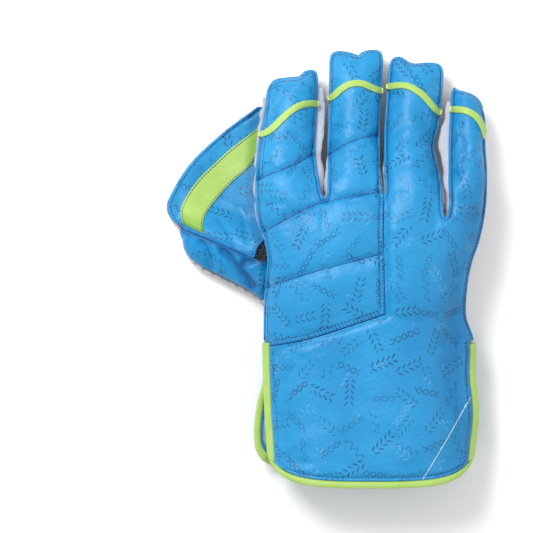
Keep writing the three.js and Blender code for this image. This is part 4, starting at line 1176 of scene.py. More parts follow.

# Lime bands across the fingertips, with a folded pale tab at each end; the little finger's band has one only at its
# left end.

for finger, finger_name in enumerate(("index", "middle", "ring", "little")):
    tree = overlay_tree if finger < 2 else base_tree
    t = np.linspace(0, 1, 60)
    centre = along(BANDS[finger], "band", t)
    left, right = sides(finger, centre)
    x = mix(left + 0.2, right - 0.2, t)
    middle = np.stack([x, length_at(centre)], axis=1)
    ahead = np.gradient(middle, axis=0)
    ahead /= np.linalg.norm(ahead, axis=1, keepdims=True)
    swing = np.stack([-ahead[:, 1], ahead[:, 0]], axis=1)
    widths = np.array([-1, -0.93, -0.8, -0.55, -0.25, 0, 0.25, 0.55, 0.8, 0.93, 1])
    band = []
    for w in widths:
        spots, ways = dropped(tree, middle + swing * w * 2.45)
        missing = np.isnan(spots[:, 0])
        for axis in range(3):
            good = np.flatnonzero(~missing)
            spots[missing, axis] = np.interp(np.flatnonzero(missing), good, spots[good, axis])
        band.append(spots)
    band = np.array(band).transpose(1, 0, 2)[:, ::-1]
    kernel = np.ones(7) / 7
    for w in range(band.shape[1]):
        for axis in range(3):
            padded_line = np.pad(band[:, w, axis], 3, mode="edge")
            band[:, w, axis] = np.convolve(padded_line, kernel, mode="valid")
    n = normals(band)
    thick = 0.55 * np.sqrt(np.maximum(0, 1 - widths[::-1] ** 2))[None, :, None]
    ends = rolled(np.minimum(np.arange(60), np.arange(60)[::-1]) * 0.6, 0.8)[:, None, None]
    top = band + n * (0.75 + thick * 1.3 * ends)
    bottom = band + n * (0.75 - thick * 1.6 * ends)
    piece = shell("tip_band_" + finger_name + "_leather", top, bottom, lime, "lime_leather")
    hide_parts("tip_band_" + finger_name)
    tabs = []
    for end_index, way in ((0, -1), (59, 1)):
        if finger == 3 and way > 0:
            continue
        tabs.append((band[end_index].mean(axis=0), n[end_index].mean(axis=0), ahead[end_index] * way))
    points, faces = [], []
    for spot, up, out in tabs:
        out = np.array([out[0], out[1], 0])
        out -= up * out.dot(up)
        out /= np.linalg.norm(out)
        side = np.cross(up, out)
        start = len(points)
        for k, (reach, lift) in enumerate(((-0.6, 1.75), (0.2, 1.9), (0.9, 1.5), (1.3, 0.6), (1.2, -0.6))):
            for w in np.linspace(-1, 1, 7):
                crown = 0.25 * (1 - w * w)
                for thick in (0, 1):
                    place_at = spot + out * (reach - 0.35 * thick) + up * (lift + crown - 0.5 * thick)
                    points.append(place_at + side * w * (2.1 - 0.12 * k))
        grid_id = lambda k, w, t: start + (k * 7 + w) * 2 + t
        for k in range(4):
            for w in range(6):
                corners = [grid_id(k, w, 0), grid_id(k, w + 1, 0), grid_id(k + 1, w + 1, 0), grid_id(k + 1, w, 0)]
                faces.append(corners)
                faces.append([v + 1 for v in reversed(corners)])
        for k in range(4):
            faces.append([grid_id(k, 0, 0), grid_id(k + 1, 0, 0), grid_id(k + 1, 0, 1), grid_id(k, 0, 1)])
            faces.append([grid_id(k, 6, 1), grid_id(k + 1, 6, 1), grid_id(k + 1, 6, 0), grid_id(k, 6, 0)])
        for w in range(6):
            faces.append([grid_id(0, w, 1), grid_id(0, w + 1, 1), grid_id(0, w + 1, 0), grid_id(0, w, 0)])
            faces.append([grid_id(4, w, 0), grid_id(4, w + 1, 0), grid_id(4, w + 1, 1), grid_id(4, w, 1)])
    place("tip_band_" + finger_name + "_tabs", np.array(points), faces, pale_tab, "lime_leather")

for loop in seams["back_base"][0]:
    border = seams["back_base"][1]
    upper = lambda x, y: (y > 73) & (y < cuff_top) & ~beside_overlay(x, y)
    for run in inside_line(loop, border, 1.7, upper):
        navy_stitches.row(base_tree, run, 1.0, 1.0, 0.24, 0.2, zigzag=0.9)
navy_stitches.build("back_stitches", navy, "blue_leather")

line = resample([(72.8, 65), (37, 5.9)], 0.5)
spots, ways = dropped(base_tree, line)
swing = np.array([0.855, -0.518, 0])
strip = np.stack([spots + swing * w + ways * 0.04 for w in (-0.42, -0.2, 0, 0.2, 0.42)], axis=1)
shell("cuff_line_print", strip + ways[:, None] * 0.05, strip - ways[:, None] * 0.12, silver_print, "blue_leather")

# The palm's rubber, with the thumb and web, in one sheet.

PALM_STEPS = np.concatenate([np.linspace(-1, -0.8, 7), np.linspace(-0.7, 0.7, 18), np.linspace(0.8, 1, 7)])


def palm_point(finger, u, at, share):
    left, right = sides(finger, at)
    start = np.full(np.shape(u), 1.0) * (left + INSET)
    spot = (np.asarray(u) + 1) / 2
    if finger == 0:
        cut = (np.asarray(at) < OPENING_TOP) & (np.asarray(u) >= 0.5)
        start = np.where(cut, along(THUMB_JOIN, "x", at) * HAND_WIDTH / 2, start)
        spot = np.where(cut, (np.asarray(u) - 0.5) / 0.5, spot)
    x = mix(start, right - INSET, spot)
    where = 2 * (x - left - INSET) / (right - left - 2 * INSET) - 1
    return np.stack([x, length_at(at) + 0 * x, palm_height(where, x, at, share)], axis=-1)


def index_underside(x, at):
    left, right = sides(0, at)
    u = 2 * (x - left - INSET) / (right - left - 2 * INSET) - 1
    return palm_height(np.maximum(u, -1), x, at, 0) - RUBBER_WALL / 2


def web_ends(rows_of):
    """The outer and the inner ends of the web's rows."""
    outer = np.stack([rows_of["x"] * HAND_WIDTH / 2, length_at(rows_of["at"]), rows_of["rim"] * THUMB_HEIGHT], axis=1)
    inner = []
    for k in range(len(rows_of["x"])):
        if rows_of["innerX"][k] == 0:
            inner.append(palm_point(0, np.array(0.5), rows_of["innerAt"][k], 0))
            continue
        x = rows_of["innerX"][k] * HAND_WIDTH / 2
        under = index_underside(x, rows_of["innerAt"][k]) - WEB_WALL - 2 * CLEAR - RUBBER_WALL
        inner.append([x, float(length_at(rows_of["innerAt"][k])), max(float(under), RUBBER_WALL / 2)])
    return outer, np.array(inner)


def web_grid(rows_of, count, shares):
    outer, inner = web_ends(rows_of)
    t = np.linspace(0, len(outer) - 1, count)
    outer, inner = spline(outer, t), spline(inner, t)
    curl = np.interp(t, np.arange(len(rows_of["curl"])), rows_of["curl"])
    floor = RUBBER_WALL / 2
    s = shares[None, :, None]
    plan = mix(outer[:, None, :2], inner[:, None, :2], s)
    rise = (1 - shares[None, :]) ** curl[:, None] * (outer[:, 2:] - floor)
    climb = shares[None, :] ** 3 * (inner[:, 2:] - floor)
    z = floor + np.maximum(rise + climb - SAG, 0)
    z[:, -1] = np.where(shares[-1] == 1, inner[:, 2], z[:, -1])
    return np.concatenate([plan, z[..., None]], axis=-1), t


def tips_inside(finger, u):
    return along(TIPS[finger], "tip", (np.asarray(u) + 1) / 2) - INSET / HAND_LENGTH


palm_low = np.concatenate([np.linspace(1.01, LITTLE_CROTCH, 46), np.linspace(LITTLE_CROTCH, CROTCH, 10)[1:]])
palm_rows = []
for at in palm_low:
    palm_rows.append(np.concatenate([palm_point(f, PALM_STEPS, np.full(len(PALM_STEPS), at), 0.0) for f in range(4)]))
for v in np.concatenate([np.linspace(0, 0.9, 52)[1:], np.linspace(0.9, 1, 12)[1:]]):
    row = []
    for f in range(4):
        at = mix(CROTCH, tips_inside(f, PALM_STEPS), v)
        row.append(palm_point(f, PALM_STEPS, at, v))
    palm_rows.append(np.concatenate(row))
palm = np.array(palm_rows)
palm_per = len(PALM_STEPS)
pr, pc = np.meshgrid(np.arange(len(palm) - 1), np.arange(palm.shape[1] - 1), indexing="ij")
palm_station = station_at(palm[:-1, :-1, 1])
cut_column = int(np.argmax(PALM_STEPS >= 0.5))
palm_has = np.ones(pr.shape, bool)
palm_has &= ~((palm_station < OPENING_TOP - 0.004) & (pc < cut_column))
edge_of_finger = (pc + 1) % palm_per == 0
limit = np.array([CROTCH, CROTCH, LITTLE_CROTCH])[np.minimum((pc + 1) // palm_per - 1, 2)]
palm_has &= ~(edge_of_finger & (palm_station >= limit - 0.002))
n = normals(palm)
for k in range(palm_per, palm.shape[1], palm_per):
    n[:, k - 1], n[:, k] = n[:, k - 2], n[:, k + 1]
thick = RUBBER_WALL / 2
ripple = 0.35 * waves(palm[..., 0], palm[..., 1], 22, 11) + 0.2 * waves(palm[..., 0], palm[..., 1], 9, 12)
shift = ripple[..., None] * n
palm_piece = shell("palm_rubber_sheet", palm + n * thick + shift, palm - n * thick + shift, rubber, "pimpled_rubber", palm_has)

web_shares = np.concatenate([[0, 0.012, 0.03, 0.055], np.linspace(0.09, 0.95, 30), [0.975, 1]])
web_rubber, _ = web_grid(WEB, 110, web_shares)
n = normals(web_rubber[::-1])[::-1]
web_piece = shell(
    "palm_rubber_web", (web_rubber + n * thick)[::-1], (web_rubber - n * thick)[::-1], rubber, "pimpled_rubber"
)
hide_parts("palm_rubber")

# Leather on the back of the web.

CREST = table("at crest", *[(x, crest * THUMB_HEIGHT) for x, crest in zip(THUMB["x"], THUMB["crest"])])


def crest_height(x):
    return along(CREST, "crest", np.clip(x / (HAND_WIDTH / 2), CREST["at"][0], CREST["at"][-1]))


def index_shade_share(x, y):
    """How near a place lies to the index finger's edge, from 0 to 1: the share of the painted shade beside it."""
    left, _ = sides(0, station_at(y))
    return 1 - smooth(left - x, 3.5, 11)


# Creases pressed into the web and the thumb: paths in millimetres.
WEB_CREASES = [
    [(-139, 191), (-126, 186), (-108, 178), (-92, 172)],
    [(-112, 196), (-104, 186), (-98, 172)],
    [(-96, 205), (-92, 192), (-90, 178)],
]
web_back, rows_t = web_grid(WEB_BACK, 120, web_shares)
end = np.array([WEB_BACK["x"][-1] * HAND_WIDTH / 2, float(length_at(WEB_BACK["at"][-1]))])
inner_end = np.array([WEB_BACK["innerX"][-1] * HAND_WIDTH / 2, float(length_at(WEB_BACK["innerAt"][-1]))])
axis = (inner_end - end) / np.linalg.norm(inner_end - end)
away = axis[0] * (web_back[..., 1] - end[1]) - axis[1] * (web_back[..., 0] - end[0])
level = web_back[..., 2] + (RUBBER_WALL / 2 + WEB_WALL / 2) * STEEP + 0.5
near = 0.5 + 0.5 * np.cos(math.pi * np.clip(away / THUMB_SPAN, 0, 1))
web_back[..., 2] = np.maximum(level, mix(level, crest_height(web_back[..., 0]), near))
n = normals(web_back[::-1])[::-1]
x, y = web_back[..., 0], web_back[..., 1]
rim_away = np.minimum(
    to_path(x, y, web_back[:, 0, :2]), np.minimum(to_path(x, y, web_back[:, -1, :2]), to_path(x, y, web_back[-1, :, :2]))
)
relief = 0.5 * waves(x, y, 24, 21) + 0.3 * waves(x, y, 10, 22)
relief += -0.45 * bump(rim_away - 3.0, 0.8) + 0.35 * waves(x, y, 5, 23) * bump(rim_away - 5, 3)
for line in WEB_CREASES:
    relief += -0.9 * bump(to_path(x, y, line), 2.2)
relief += 1.1 * bump(to_path(x, y, web_back[-1, :, :2]) - 1.6, 1.3)
relief *= smooth(rim_away, 0, 2)
# Painted shade: the web is darkened beside the index finger and along its free edge above the thumb.
painted_shade = 0.75 * index_shade_share(x, y) + 0.5 * (1 - smooth(to_path(x, y, web_back[-1, :, :2]), 0.5, 5))
painted_shade = np.clip(painted_shade, 0, 0.85)
half = WEB_WALL / 2 * rolled(rim_away + 0.02, 0.9)
top = web_back + n * (half + relief)[..., None]
bottom = web_back - n * (half - 0.4 * np.minimum(relief, 0))[..., None]
web_leather = shell("web_back_leather", top[::-1], bottom[::-1], blue, "blue_leather", None, painted_shade[::-1])
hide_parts("web_back")
web_tree = tree_of(web_leather)


def tube(name, path, radius, material, slot, about=10):
    """A round cord along a path of points."""
    path = np.asarray(path, float)
    ahead = np.gradient(path, axis=0)
    ahead /= np.maximum(np.linalg.norm(ahead, axis=1, keepdims=True), 1e-6)
    side = np.cross(ahead, [0, 0, 1])
    side /= np.maximum(np.linalg.norm(side, axis=1, keepdims=True), 1e-6)
    rise = np.cross(side, ahead)
    angle = np.linspace(0, 2 * math.pi, about, endpoint=False)[None, :, None]
    size = (radius * rolled(np.minimum(np.arange(len(path)), np.arange(len(path))[::-1]) + 0.3, 2))[:, None, None]
    rings = path[:, None] + (side[:, None] * np.cos(angle) + rise[:, None] * np.sin(angle)) * size
    index = np.arange(len(path) * about).reshape(len(path), about)
    turned = np.roll(index, -1, axis=1)
    cells = np.stack([index[:-1], turned[:-1], turned[1:], index[1:]], axis=-1).reshape(-1, 4).tolist()
    cells += [index[0, ::-1].tolist(), index[-1].tolist()]
    return place(name, rings.reshape(-1, 3), cells, material, slot)


# The web's free edge above the thumb is rolled, and goes on round the opening.
first_row = int(np.argmax(rows_t >= 5.6))
rolled_edge = np.concatenate([web_back[-1, 2:, :], web_back[first_row:-1, -1][::-1]])
rolled_edge = resample(rolled_edge, 0.7)
rolled_edge[:, 2] += 0.25
# The rolled edge is given the darker palm leather as painted shade, standing in for the dark shadow line under the
# hem.
tube("web_hem_piping", rolled_edge, 0.95, palm_blue, "blue_leather")
web_stitches = Stitches()
out_to_in = web_back[:, -1, :2] - web_back[:, 0, :2]
out_to_in /= np.linalg.norm(out_to_in, axis=1, keepdims=True)
web_stitches.row(web_tree, (web_back[:, 0, :2] + out_to_in * 3.0)[4:-8])
rolled_edge = rolled_edge[rolled_edge[:, 0] > -89]
edge_ahead = np.gradient(rolled_edge[:, :2], axis=0)
edge_ahead /= np.linalg.norm(edge_ahead, axis=1, keepdims=True)
web_stitches.row(web_tree, rolled_edge[:, :2] + np.stack([-edge_ahead[:, 1], edge_ahead[:, 0]], axis=1) * 2.6)

stripe_outer = np.stack([STRIPE["x"] * HAND_WIDTH / 2, length_at(STRIPE["at"])], axis=1)
stripe_inner = np.stack([STRIPE["innerX"] * HAND_WIDTH / 2, length_at(STRIPE["innerAt"])], axis=1)
t = np.linspace(0, len(stripe_outer) - 1, 90)
outer_line, inner_line = spline(stripe_outer, t), spline(stripe_inner, t)
shares = np.array([0, 0.012, 0.035, 0.08, 0.16, 0.3, 0.45, 0.6, 0.75, 0.86, 0.93, 0.968, 0.99, 1])
stripe = []
for share in shares:
    spots, _ = dropped(web_tree, mix(outer_line, inner_line, share))
    for k in range(3):
        good = ~np.isnan(spots[:, 2])
        spots[:, k] = np.interp(np.arange(len(spots)), np.flatnonzero(good), spots[good, k])
    stripe.append(spots)
stripe = np.array(stripe).transpose(1, 0, 2)[::-1]
n = normals(stripe)
width = np.linalg.norm(outer_line - inner_line, axis=1)[::-1, None]
edge = np.minimum(shares[None, :], 1 - shares[None, :]) * width
half = 0.5 * rolled(edge, 0.7)
dent = -0.25 * bump(edge - 1.5, 0.5)
low_end = to_path(stripe[..., 0], stripe[..., 1], [outer_line[-1], inner_line[-1]])
# Painted shade: the stripe is darkened beside the index finger and towards its low end.
painted_shade = np.clip(0.85 * index_shade_share(stripe[..., 0], stripe[..., 1]) + 0.85 * (1 - smooth(low_end, 0, 12)), 0, 0.9)
stripe_leather = shell(
    "web_stripe_leather",
    stripe + n * (0.65 + half + dent)[..., None],
    stripe + n * (0.65 - half)[..., None],
    lime,
    "lime_leather",
    None,
    painted_shade,
)
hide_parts("web_stripe")
stripe_tree = tree_of(stripe_leather)
inward = (inner_line - outer_line) / np.linalg.norm(inner_line - outer_line, axis=1, keepdims=True)
for line in (outer_line + inward * 1.3, inner_line - inward * 1.3):
    web_stitches.row(stripe_tree, line)
web_stitches.build("web_stitches", navy, "blue_leather")

# The thumb's leather back, with creases across it.

t = np.linspace(0, len(THUMB["x"]) - 1, 90)
crest_line = spline(np.stack([THUMB["x"] * HAND_WIDTH / 2, length_at(THUMB["at"]), THUMB["crest"] * THUMB_HEIGHT], 1), t)
low_line = spline(np.stack([THUMB["lowX"] * HAND_WIDTH / 2, length_at(THUMB["lowAt"]), THUMB["low"] * THUMB_HEIGHT], 1), t)
s = np.concatenate([[0, 0.01, 0.03, 0.06], np.linspace(0.1, 0.9, 30), [0.93, 0.955, 0.975, 0.99, 1]])
plan = mix(crest_line[:, None, :2], low_line[:, None, :2], s[None, :, None])
z = mix(low_line[:, None, 2], crest_line[:, None, 2], np.sqrt(1 - s[None, :] ** 2))
thumb = np.concatenate([plan, z[..., None]], axis=-1)
x, y = thumb[..., 0], thumb[..., 1]
n = normals(thumb)
THUMB_CREASES = [
    [(-108, 172), (-104, 168), (-96, 159), (-90, 152), (-86, 147)],
    [(-93, 163), (-87, 166), (-80, 169)],
    [(-124, 177), (-119, 168), (-117, 160)],
]
relief = 0.9 * waves(x, y, 19, 31) + 0.25 * waves(x, y, 9, 32)
# Painted shade: the thumb is darkened towards the hand, along its crest under the web's rolled edge, and in its
# creases.
painted_shade = 0.3 * smooth(x, -104, -82) + 0.85 * (1 - smooth(to_path(x, y, thumb[:, 0, :2]), 1, 5))
for line, deep in zip(THUMB_CREASES, (0.85, 0.7, 0.25)):
    away = to_path(x, y, line)
    relief += -2.4 * bump(away, 2.8) + 0.8 * bump(away - 5.5, 2.8)
    painted_shade += deep * bump(away, 3.2)
edge = np.minimum(to_path(x, y, thumb[:, -1, :2]), to_path(x, y, thumb[:, 0, :2]))
relief *= smooth(edge, 0, 3)
half = WEB_WALL / 2 * rolled(edge + 0.05, 0.9)
thumb_leather = shell(
    "thumb_back_leather", thumb + n * (half + relief)[..., None], thumb - n * half[..., None], thumb_blue,
    "blue_leather", None, np.clip(painted_shade, 0, 0.9)
)
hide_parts("thumb_back")

# Grey leather walls of the fingers, with folds.

whole_back_tree = tree_of(parts["back_base"][0], parts["back_overlay"][0])
palm_tree = tree_of(palm_piece)


def wall_path(finger, side, start, count, inset=INSET):
    """Places along one side of a finger, from a station almost to its tip."""
    tip = TIPS[finger]["tip"][0 if side < 0 else -1]
    at = np.linspace(start, mix(CROTCH, tip, 0.93), count)
    left, right = sides(finger, at, True)
    x = left + inset if side < 0 else right - inset
    return np.stack([x, length_at(at)], axis=1)


def fold_wall(name, path, outward, bulge, tops, seed, material=grey, joined=1.0):
    """A folded wall that hangs from the back's edge down to the rubber's edge."""
    count = len(path)
    levels = np.linspace(0, 1, 18)
    at = station_at(path[:, 1])
    edge_z = tops - BACK_WALL / 2 - 0.35
    plain = height("rubber", at) - SAG
    on_hand = palm_height(np.ones(count), path[:, 0], at, 0.0)
    low_z = mix(plain, on_hand, joined) + RUBBER_WALL / 2 + 0.2
    folds = waves(np.linspace(0, 1, count) * 260, levels[:, None] * 14, 13, seed).T
    fine = waves(np.linspace(0, 1, count) * 260, levels[:, None] * 20, 5, seed + 1).T
    belly = np.sin(math.pi * levels**1.7)[None, :] ** 0.75
    push = (bulge[:, None] * (0.88 + 0.12 * folds) + 0.5 * folds + 0.3 * fine) * belly
    x = path[:, :1] + outward[:, :1] * push
    y = path[:, 1:2] + outward[:, 1:2] * push
    z = mix(low_z[:, None], edge_z[:, None], levels[None, :])
    sheet = np.stack([x, y, z], axis=-1)
    n = normals(sheet)
    return shell(name, sheet + n * 0.6, sheet - n * 0.6, material, "grey_leather")


def around(path):
    """The way outwards, to the right of a path."""
    ahead = np.gradient(path, axis=0)
    ahead /= np.maximum(np.linalg.norm(ahead, axis=1, keepdims=True), 1e-6)
    return np.stack([ahead[:, 1], -ahead[:, 0]], axis=1)


# How far the walls of each cleft reach across it, on its left and right, above and at its bottom.
BULGES = table("left right lowLeft lowRight", (0.58, 0.12, 0.54, 0.5), (0.14, 0.14, 0.5, 0.5), (0.14, 0.6, 0.5, 0.52))
for cleft, wall_name in enumerate(("index_middle_gusset", "middle_ring_gusset", "ring_little_gusset")):
    start = BOTTOMS[cleft] - 0.004
    down = wall_path(cleft, 1, start, 70)[::-1]
    up = wall_path(cleft + 1, -1, start, 70)
    bottom = (down[-1] + up[0]) / 2 + np.array([0, -1.2])
    path = resample(np.concatenate([down, [bottom], up]), 1.5)
    outward = around(path)
    outward[:, 0] = np.where(path[:, 0] < bottom[0], 1, -1) * np.abs(outward[:, 0])
    outward[:, 1] = np.abs(outward[:, 1])
    is_right = smooth(path[:, 0], bottom[0] - 1, bottom[0] + 1)
    low_down = 1 - smooth(path[:, 1], bottom[1] + 12, bottom[1] + 36)
    spot = lambda name: BULGES[name][cleft]
    reach = mix(mix(spot("left"), spot("right"), is_right), mix(spot("lowLeft"), spot("lowRight"), is_right), low_down)
    at = station_at(path[:, 1])
    wide = sides(cleft + 1, at, True)[0] - sides(cleft, at, True)[1] + 2 * INSET
    bulge = reach * wide + 2.6 * (1 - smooth(path[:, 1], bottom[1], bottom[1] + 5))
    bulge *= 1 - 0.6 * smooth(path[:, 1], path[:, 1].max() - 20, path[:, 1].max())
    tops = side_edge(cleft, 1, station_at(path[:, 1]))
    piece = fold_wall(wall_name + "_leather", path, outward, bulge, tops, 41 + cleft)
    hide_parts(wall_name)

thumb_side = wall_path(0, -1, 1.345, 120)
full = mix(2.7, 4.4, smooth(thumb_side[:, 1], 228, 262)) * (0.4 + 0.6 * smooth(thumb_side[:, 1], 178, 190))
tops = side_edge(0, -1, station_at(thumb_side[:, 1]))
joined = smooth(station_at(thumb_side[:, 1]), 1.4, 1.46)
piece = fold_wall("index_side_gusset_leather", thumb_side, -around(thumb_side), full, tops, 51, side_grey, joined)
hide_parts("index_side_gusset")
little_side = wall_path(3, 1, 1.015, 160)
tops = side_edge(3, 1, station_at(little_side[:, 1]))
piece = fold_wall("little_side_gusset_leather", little_side, around(little_side), np.full(160, 0.8), tops, 53)
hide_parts("little_side_gusset")

# The cuff: palm panel, bindings, lining and the stitched band.


def palm_cuff(binding, top_at, rows_count=70, extra=0.0):
    u = np.concatenate([np.linspace(-1, -0.9, 10), np.linspace(-0.86, 0.86, 56), np.linspace(0.9, 1, 10)])
    edge = EDGE_STEPS[1:-1] / CUFF_LENGTH
    v = np.concatenate([[0], edge, np.linspace(0.055, 1, rows_count)])[:, None]
    at = mix(palm_hem(u)[None, :] + binding / CUFF_LENGTH, top_at, v)
    half = half_width(at)
    left = along(PALM_CUFF, "left", at) * half + binding
    right = along(PALM_CUFF, "right", at) * half - binding
    x = mix(left, right, (u[None, :] + 1) / 2)
    slit = along(PALM_CUFF, "slit", at) * HEIGHT
    rim = height("edge", at) - BACK_WALL - CLEAR - slit
    low = height("low", at) + BACK_WALL / 2
    z = np.maximum(mix(rim, low, arch(u[None, :] / 0.95, 3)) - SAG, BACK_WALL / 2)
    return np.stack([x, length_at(at), z + extra], axis=-1)


panel = palm_cuff(LIME_ROOM, 0.995)
x, y = panel[..., 0], panel[..., 1]
border_path = np.concatenate([panel[::-1, 0, :2], panel[0, :, :2], panel[:, -1, :2]])
edge = to_path(x, y, border_path)
n = normals(panel)
relief = (0.8 * waves(x, y, 26, 61) + 0.4 * waves(x, y, 11, 62)) * smooth(edge, 1, 8) - 0.4 * bump(edge - 2.4, 0.7)
half = BACK_WALL / 2 * rolled(edge + 0.02, 1.3)
under = panel - n * (half + np.minimum(relief, 0.4) * (panel[..., 2] > 2.2))[..., None]
cuff_panel = shell("cuff_palm_leather", panel + n * half[..., None], under, palm_blue, "blue_leather")
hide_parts("cuff_palm")


def binding_strip(name, outer, inner, lift, node):
    """A folded strip of leather over an edge, between two lines of points."""
    w = np.array([0, 0.03, 0.1, 0.2, 0.35, 0.5, 0.65, 0.8, 0.9, 0.97, 1])
    strip = mix(inner[:, None, :], outer[:, None, :], w[None, :, None])
    n = normals(strip)
    profile = np.sqrt(np.maximum(0, 1 - (2 * w - 1) ** 2)) ** 0.8
    length = np.concatenate([[0], np.cumsum(np.linalg.norm(np.diff(outer, axis=0), axis=1))])
    ends = rolled(np.minimum(length, length[-1] - length), 1.5)[:, None]
    wobble = 0.18 * waves(strip[..., 0], strip[..., 1], 6, 71)
    half = (1.75 + wobble) * profile[None, :] * ends
    return_piece = shell(
        name, strip + n * (lift + half)[..., None], strip + n * (lift - half)[..., None], lime, "lime_leather"
    )
    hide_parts(node)
    return return_piece


def three_sides(points, top):
    """The line down the left side, along the hem and up the right side of a grid."""
    left = points[: top + 1, 0][::-1]
    right = points[: top + 1, -1]
    return np.concatenate([left, points[0, 1:-1], right])


outer_grid, _ = back_grid(-0.6)
inner_grid, _ = back_grid(BINDING + 0.5)
left_station = station_at(outer_grid[:, 0, 1])
stop = int(np.argmax(left_station > BINDING_TOP + 0.003))
stop_right = int(np.argmax(station_at(outer_grid[:, -1, 1]) > BINDING_TOP + 0.003))


def back_line(points):
    left = points[: stop + 1, 0][::-1]
    right = points[: stop_right + 1, -1]
    return np.concatenate([left, points[0, 1:-1], right])


back_binding = binding_strip("cuff_back_binding_leather", back_line(outer_grid), back_line(inner_grid), 0.3, "cuff_back_binding")
outer_palm = palm_cuff(-0.3, 0.99)
inner_palm = palm_cuff(BINDING + 1.0, 0.99)
top_row = len(outer_palm) - 1
palm_binding = binding_strip(
    "cuff_palm_binding_leather", three_sides(outer_palm, top_row), three_sides(inner_palm, top_row), 0.0, "cuff_palm_binding"
)


def cloth_piece(name, middle, half, material, slot, node):
    """A sheet of cloth around a middle surface, with the given half thickness in millimetres."""
    n = normals(middle)
    piece = shell(name, middle + n * half, middle - n * half, material, slot)
    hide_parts(node)
    return piece


lining = palm_cuff(LIME_ROOM + INSET, 0.6, 40)
x, y = lining[..., 0], lining[..., 1]
puffs = 0.5 * waves(x, y, 14, 81) + 0.25 * waves(x, y, 6, 82)
lining = lining + normals(lining) * (BACK_WALL / 2 + CLEAR + 0.9 + puffs)[..., None]
cloth_piece(
    "cuff_lining_cloth", lining, 0.4, grey_cloth, "grey_cloth", "cuff_lining"
)

# Grey cloth at the wrist, from the thumb's base up to the edge of the back.

t = np.linspace(0, 1, 36)
at = mix(1.15, 1.02, t)
left, _ = sides(0, at)
top_line = np.stack([left + INSET, length_at(at), back_height(0, left + INSET, at, 0) - BACK_WALL / 2 * STEEP - CLEAR], axis=1)
low_x, low_at, low_z = mix(-0.955, -0.66, t), mix(1.142, 1.022, t), mix(0.62, 0.56, t)
low_line = np.stack(
    [low_x * HAND_WIDTH / 2, length_at(low_at) - 1.5, low_z * THUMB_HEIGHT + RUBBER_WALL / 2 + CLEAR], axis=1
)
v = np.linspace(0, 1, 26)[None, :, None]
wrist = mix(low_line[:, None], top_line[:, None], v)
folds = 0.7 * waves(wrist[..., 1] * 1.4, wrist[..., 2], 7, 91) + 0.3 * waves(wrist[..., 1], wrist[..., 2], 3.4, 92)
folds *= np.sin(math.pi * v[..., 0]) ** 0.5
wrist = wrist + normals(wrist) * folds[..., None]
cloth_piece(
    "wrist_gusset_cloth", wrist, 0.5, grey_cloth, "grey_cloth", "wrist_gusset"
)

# The pale lining behind the opening at the root of the index finger.

at = np.linspace(1.303, 1.43, 34)[:, None]
u = np.linspace(-0.85, 0.5, 40)[None, :]
left, right = sides(0, at)
x = mix(left + INSET, right - INSET, (u + 1) / 2)
pale = np.stack([x, length_at(at) + 0 * x, palm_height(u, x, at, 0)], axis=-1)
ruck = 0.8 * waves(pale[..., 0], pale[..., 1] * 1.5, 8, 95) + 0.3 * waves(pale[..., 0], pale[..., 1], 3.5, 96)
pale = pale + normals(pale) * (RUBBER_WALL / 2 + 2 * CLEAR + 0.9 + ruck)[..., None]
cloth_piece(
    "palm_lining_cloth", pale, 0.45, pale_cloth, "pale_lining", "palm_lining"
)

band_x = np.linspace(-0.48, 0.7, 60)
band_v = np.linspace(-1, 1, 15)
at = station_at(CUFF_LENGTH + band_v * 5)[:, None]
x = band_x[None, :] * half_width(at)
rise = 0.28 * HEIGHT * (1 - arch(band_x, 3.6))[None, :]
band = np.stack([x, length_at(at) + 0 * x, height("low", at) + rise - SAG + 0 * x], axis=-1)
n = normals(band)
edge = (1 - np.abs(band_v))[:, None] * 5 + 0 * x
half = 0.6 * rolled(edge + 0.02, 0.8)
band_piece = shell(
    "cuff_palm_band_leather", band + n * (half - 1.2)[..., None], band - n * (half + 1.2)[..., None], plain_blue, "blue_leather"
)
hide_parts("cuff_palm_band")

# Stitches on the palm side.

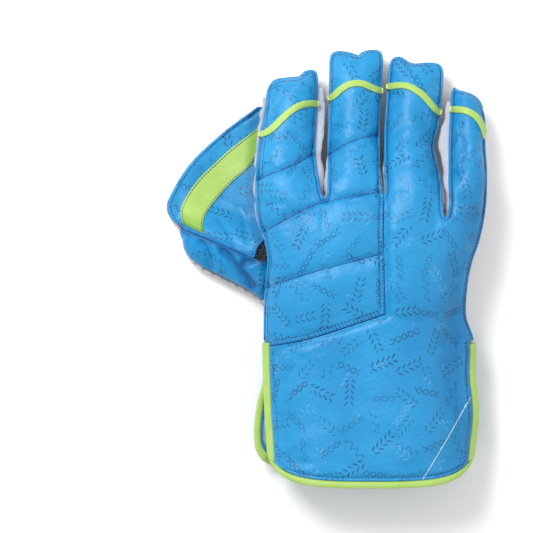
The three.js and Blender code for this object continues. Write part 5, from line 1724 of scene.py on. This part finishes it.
under_stitches = Stitches()
band_tree = tree_of(band_piece)
for side in (-3.6, -2.0, 3.6):
    ys = CUFF_LENGTH + side
    line = np.stack([np.linspace(-0.47, 0.69, 80) * half_width(station_at(ys)), np.full(80, ys)], axis=1)
    under_stitches.row(band_tree, line, up=False)
panel_tree = tree_of(cuff_panel)
inner_border = palm_cuff(LIME_ROOM + 2.2, 0.93)
under_stitches.row(panel_tree, three_sides(inner_border, len(inner_border) - 1)[:, :2], up=False)
under_stitches.build("cuff_palm_stitches", navy, "blue_leather")
sewn = Stitches()
web_under = tree_of(web_piece)
_, inner_ends = web_ends(WEB)
seam_line = spline(inner_ends, np.linspace(0, 7, 160))[:, :2]
sewn.row(web_under, seam_line + np.array([-2.2, 0]), 3.4, 2.7, 0.36, 0.3, up=False)
join = np.stack([THUMB_JOIN["x"][:6] * HAND_WIDTH / 2 - 2.0, length_at(THUMB_JOIN["at"][:6])], axis=1)
sewn.row(web_under, spline(join, np.linspace(0, 5, 80)), 3.4, 2.7, 0.36, 0.3, up=False)
sewn.build("palm_stitches", brown, "pimpled_rubber")

# Floor, light and camera

floor_mesh = bpy.data.meshes.new("floor")
floor_mesh.from_pydata([(-3, -3, 0), (3, -3, 0), (3, 3, 0), (-3, 3, 0)], [], [(0, 1, 2, 3)])
floor = bpy.data.objects.new("floor", floor_mesh)
bpy.context.scene.collection.objects.link(floor)
floor_nodes = Nodes("floor_paper")
paper = floor_nodes.between(floor_nodes.noise(9, 2, 0.5), 0.3, 0.7)
floor_mesh.materials.append(
    floor_nodes.finish(
        Base_Color=floor_nodes.blend(paper, (0.93, 0.93, 0.93, 1), (0.95, 0.95, 0.95, 1)), Roughness=0.9
    )
)

world = bpy.data.worlds.new("studio")
world.use_nodes = True
world.node_tree.nodes["Background"].inputs[0].default_value = (1, 1, 1, 1)
world.node_tree.nodes["Background"].inputs[1].default_value = 0.72
bpy.context.scene.world = world


def lamp(name, spot, size, power):
    data = bpy.data.lights.new(name, "AREA")
    data.size = size
    data.energy = power
    obj = bpy.data.objects.new(name, data)
    obj.location = spot
    obj.rotation_euler = (-Vector(spot)).to_track_quat("-Z", "Y").to_euler()
    bpy.context.scene.collection.objects.link(obj)


lamp("key_light", (-0.75, 1.0, 1.5), 0.7, 30)
lamp("fill_light", (1.2, -0.3, 1.5), 1.4, 6)

camera_data = bpy.data.cameras.new("camera")
camera = bpy.data.objects.new("camera", camera_data)
bpy.context.scene.collection.objects.link(camera)
FIELD, SUBJECT, AWAY = 0.3915, 0.03, 2.2
camera.location = (-0.0441, 0.0009, SUBJECT + AWAY)
camera_data.sensor_width = 36
camera_data.lens = 36 * AWAY / FIELD
camera_data.clip_end = 20
bpy.context.scene.camera = camera
bpy.context.scene.view_settings.view_transform = "Standard"
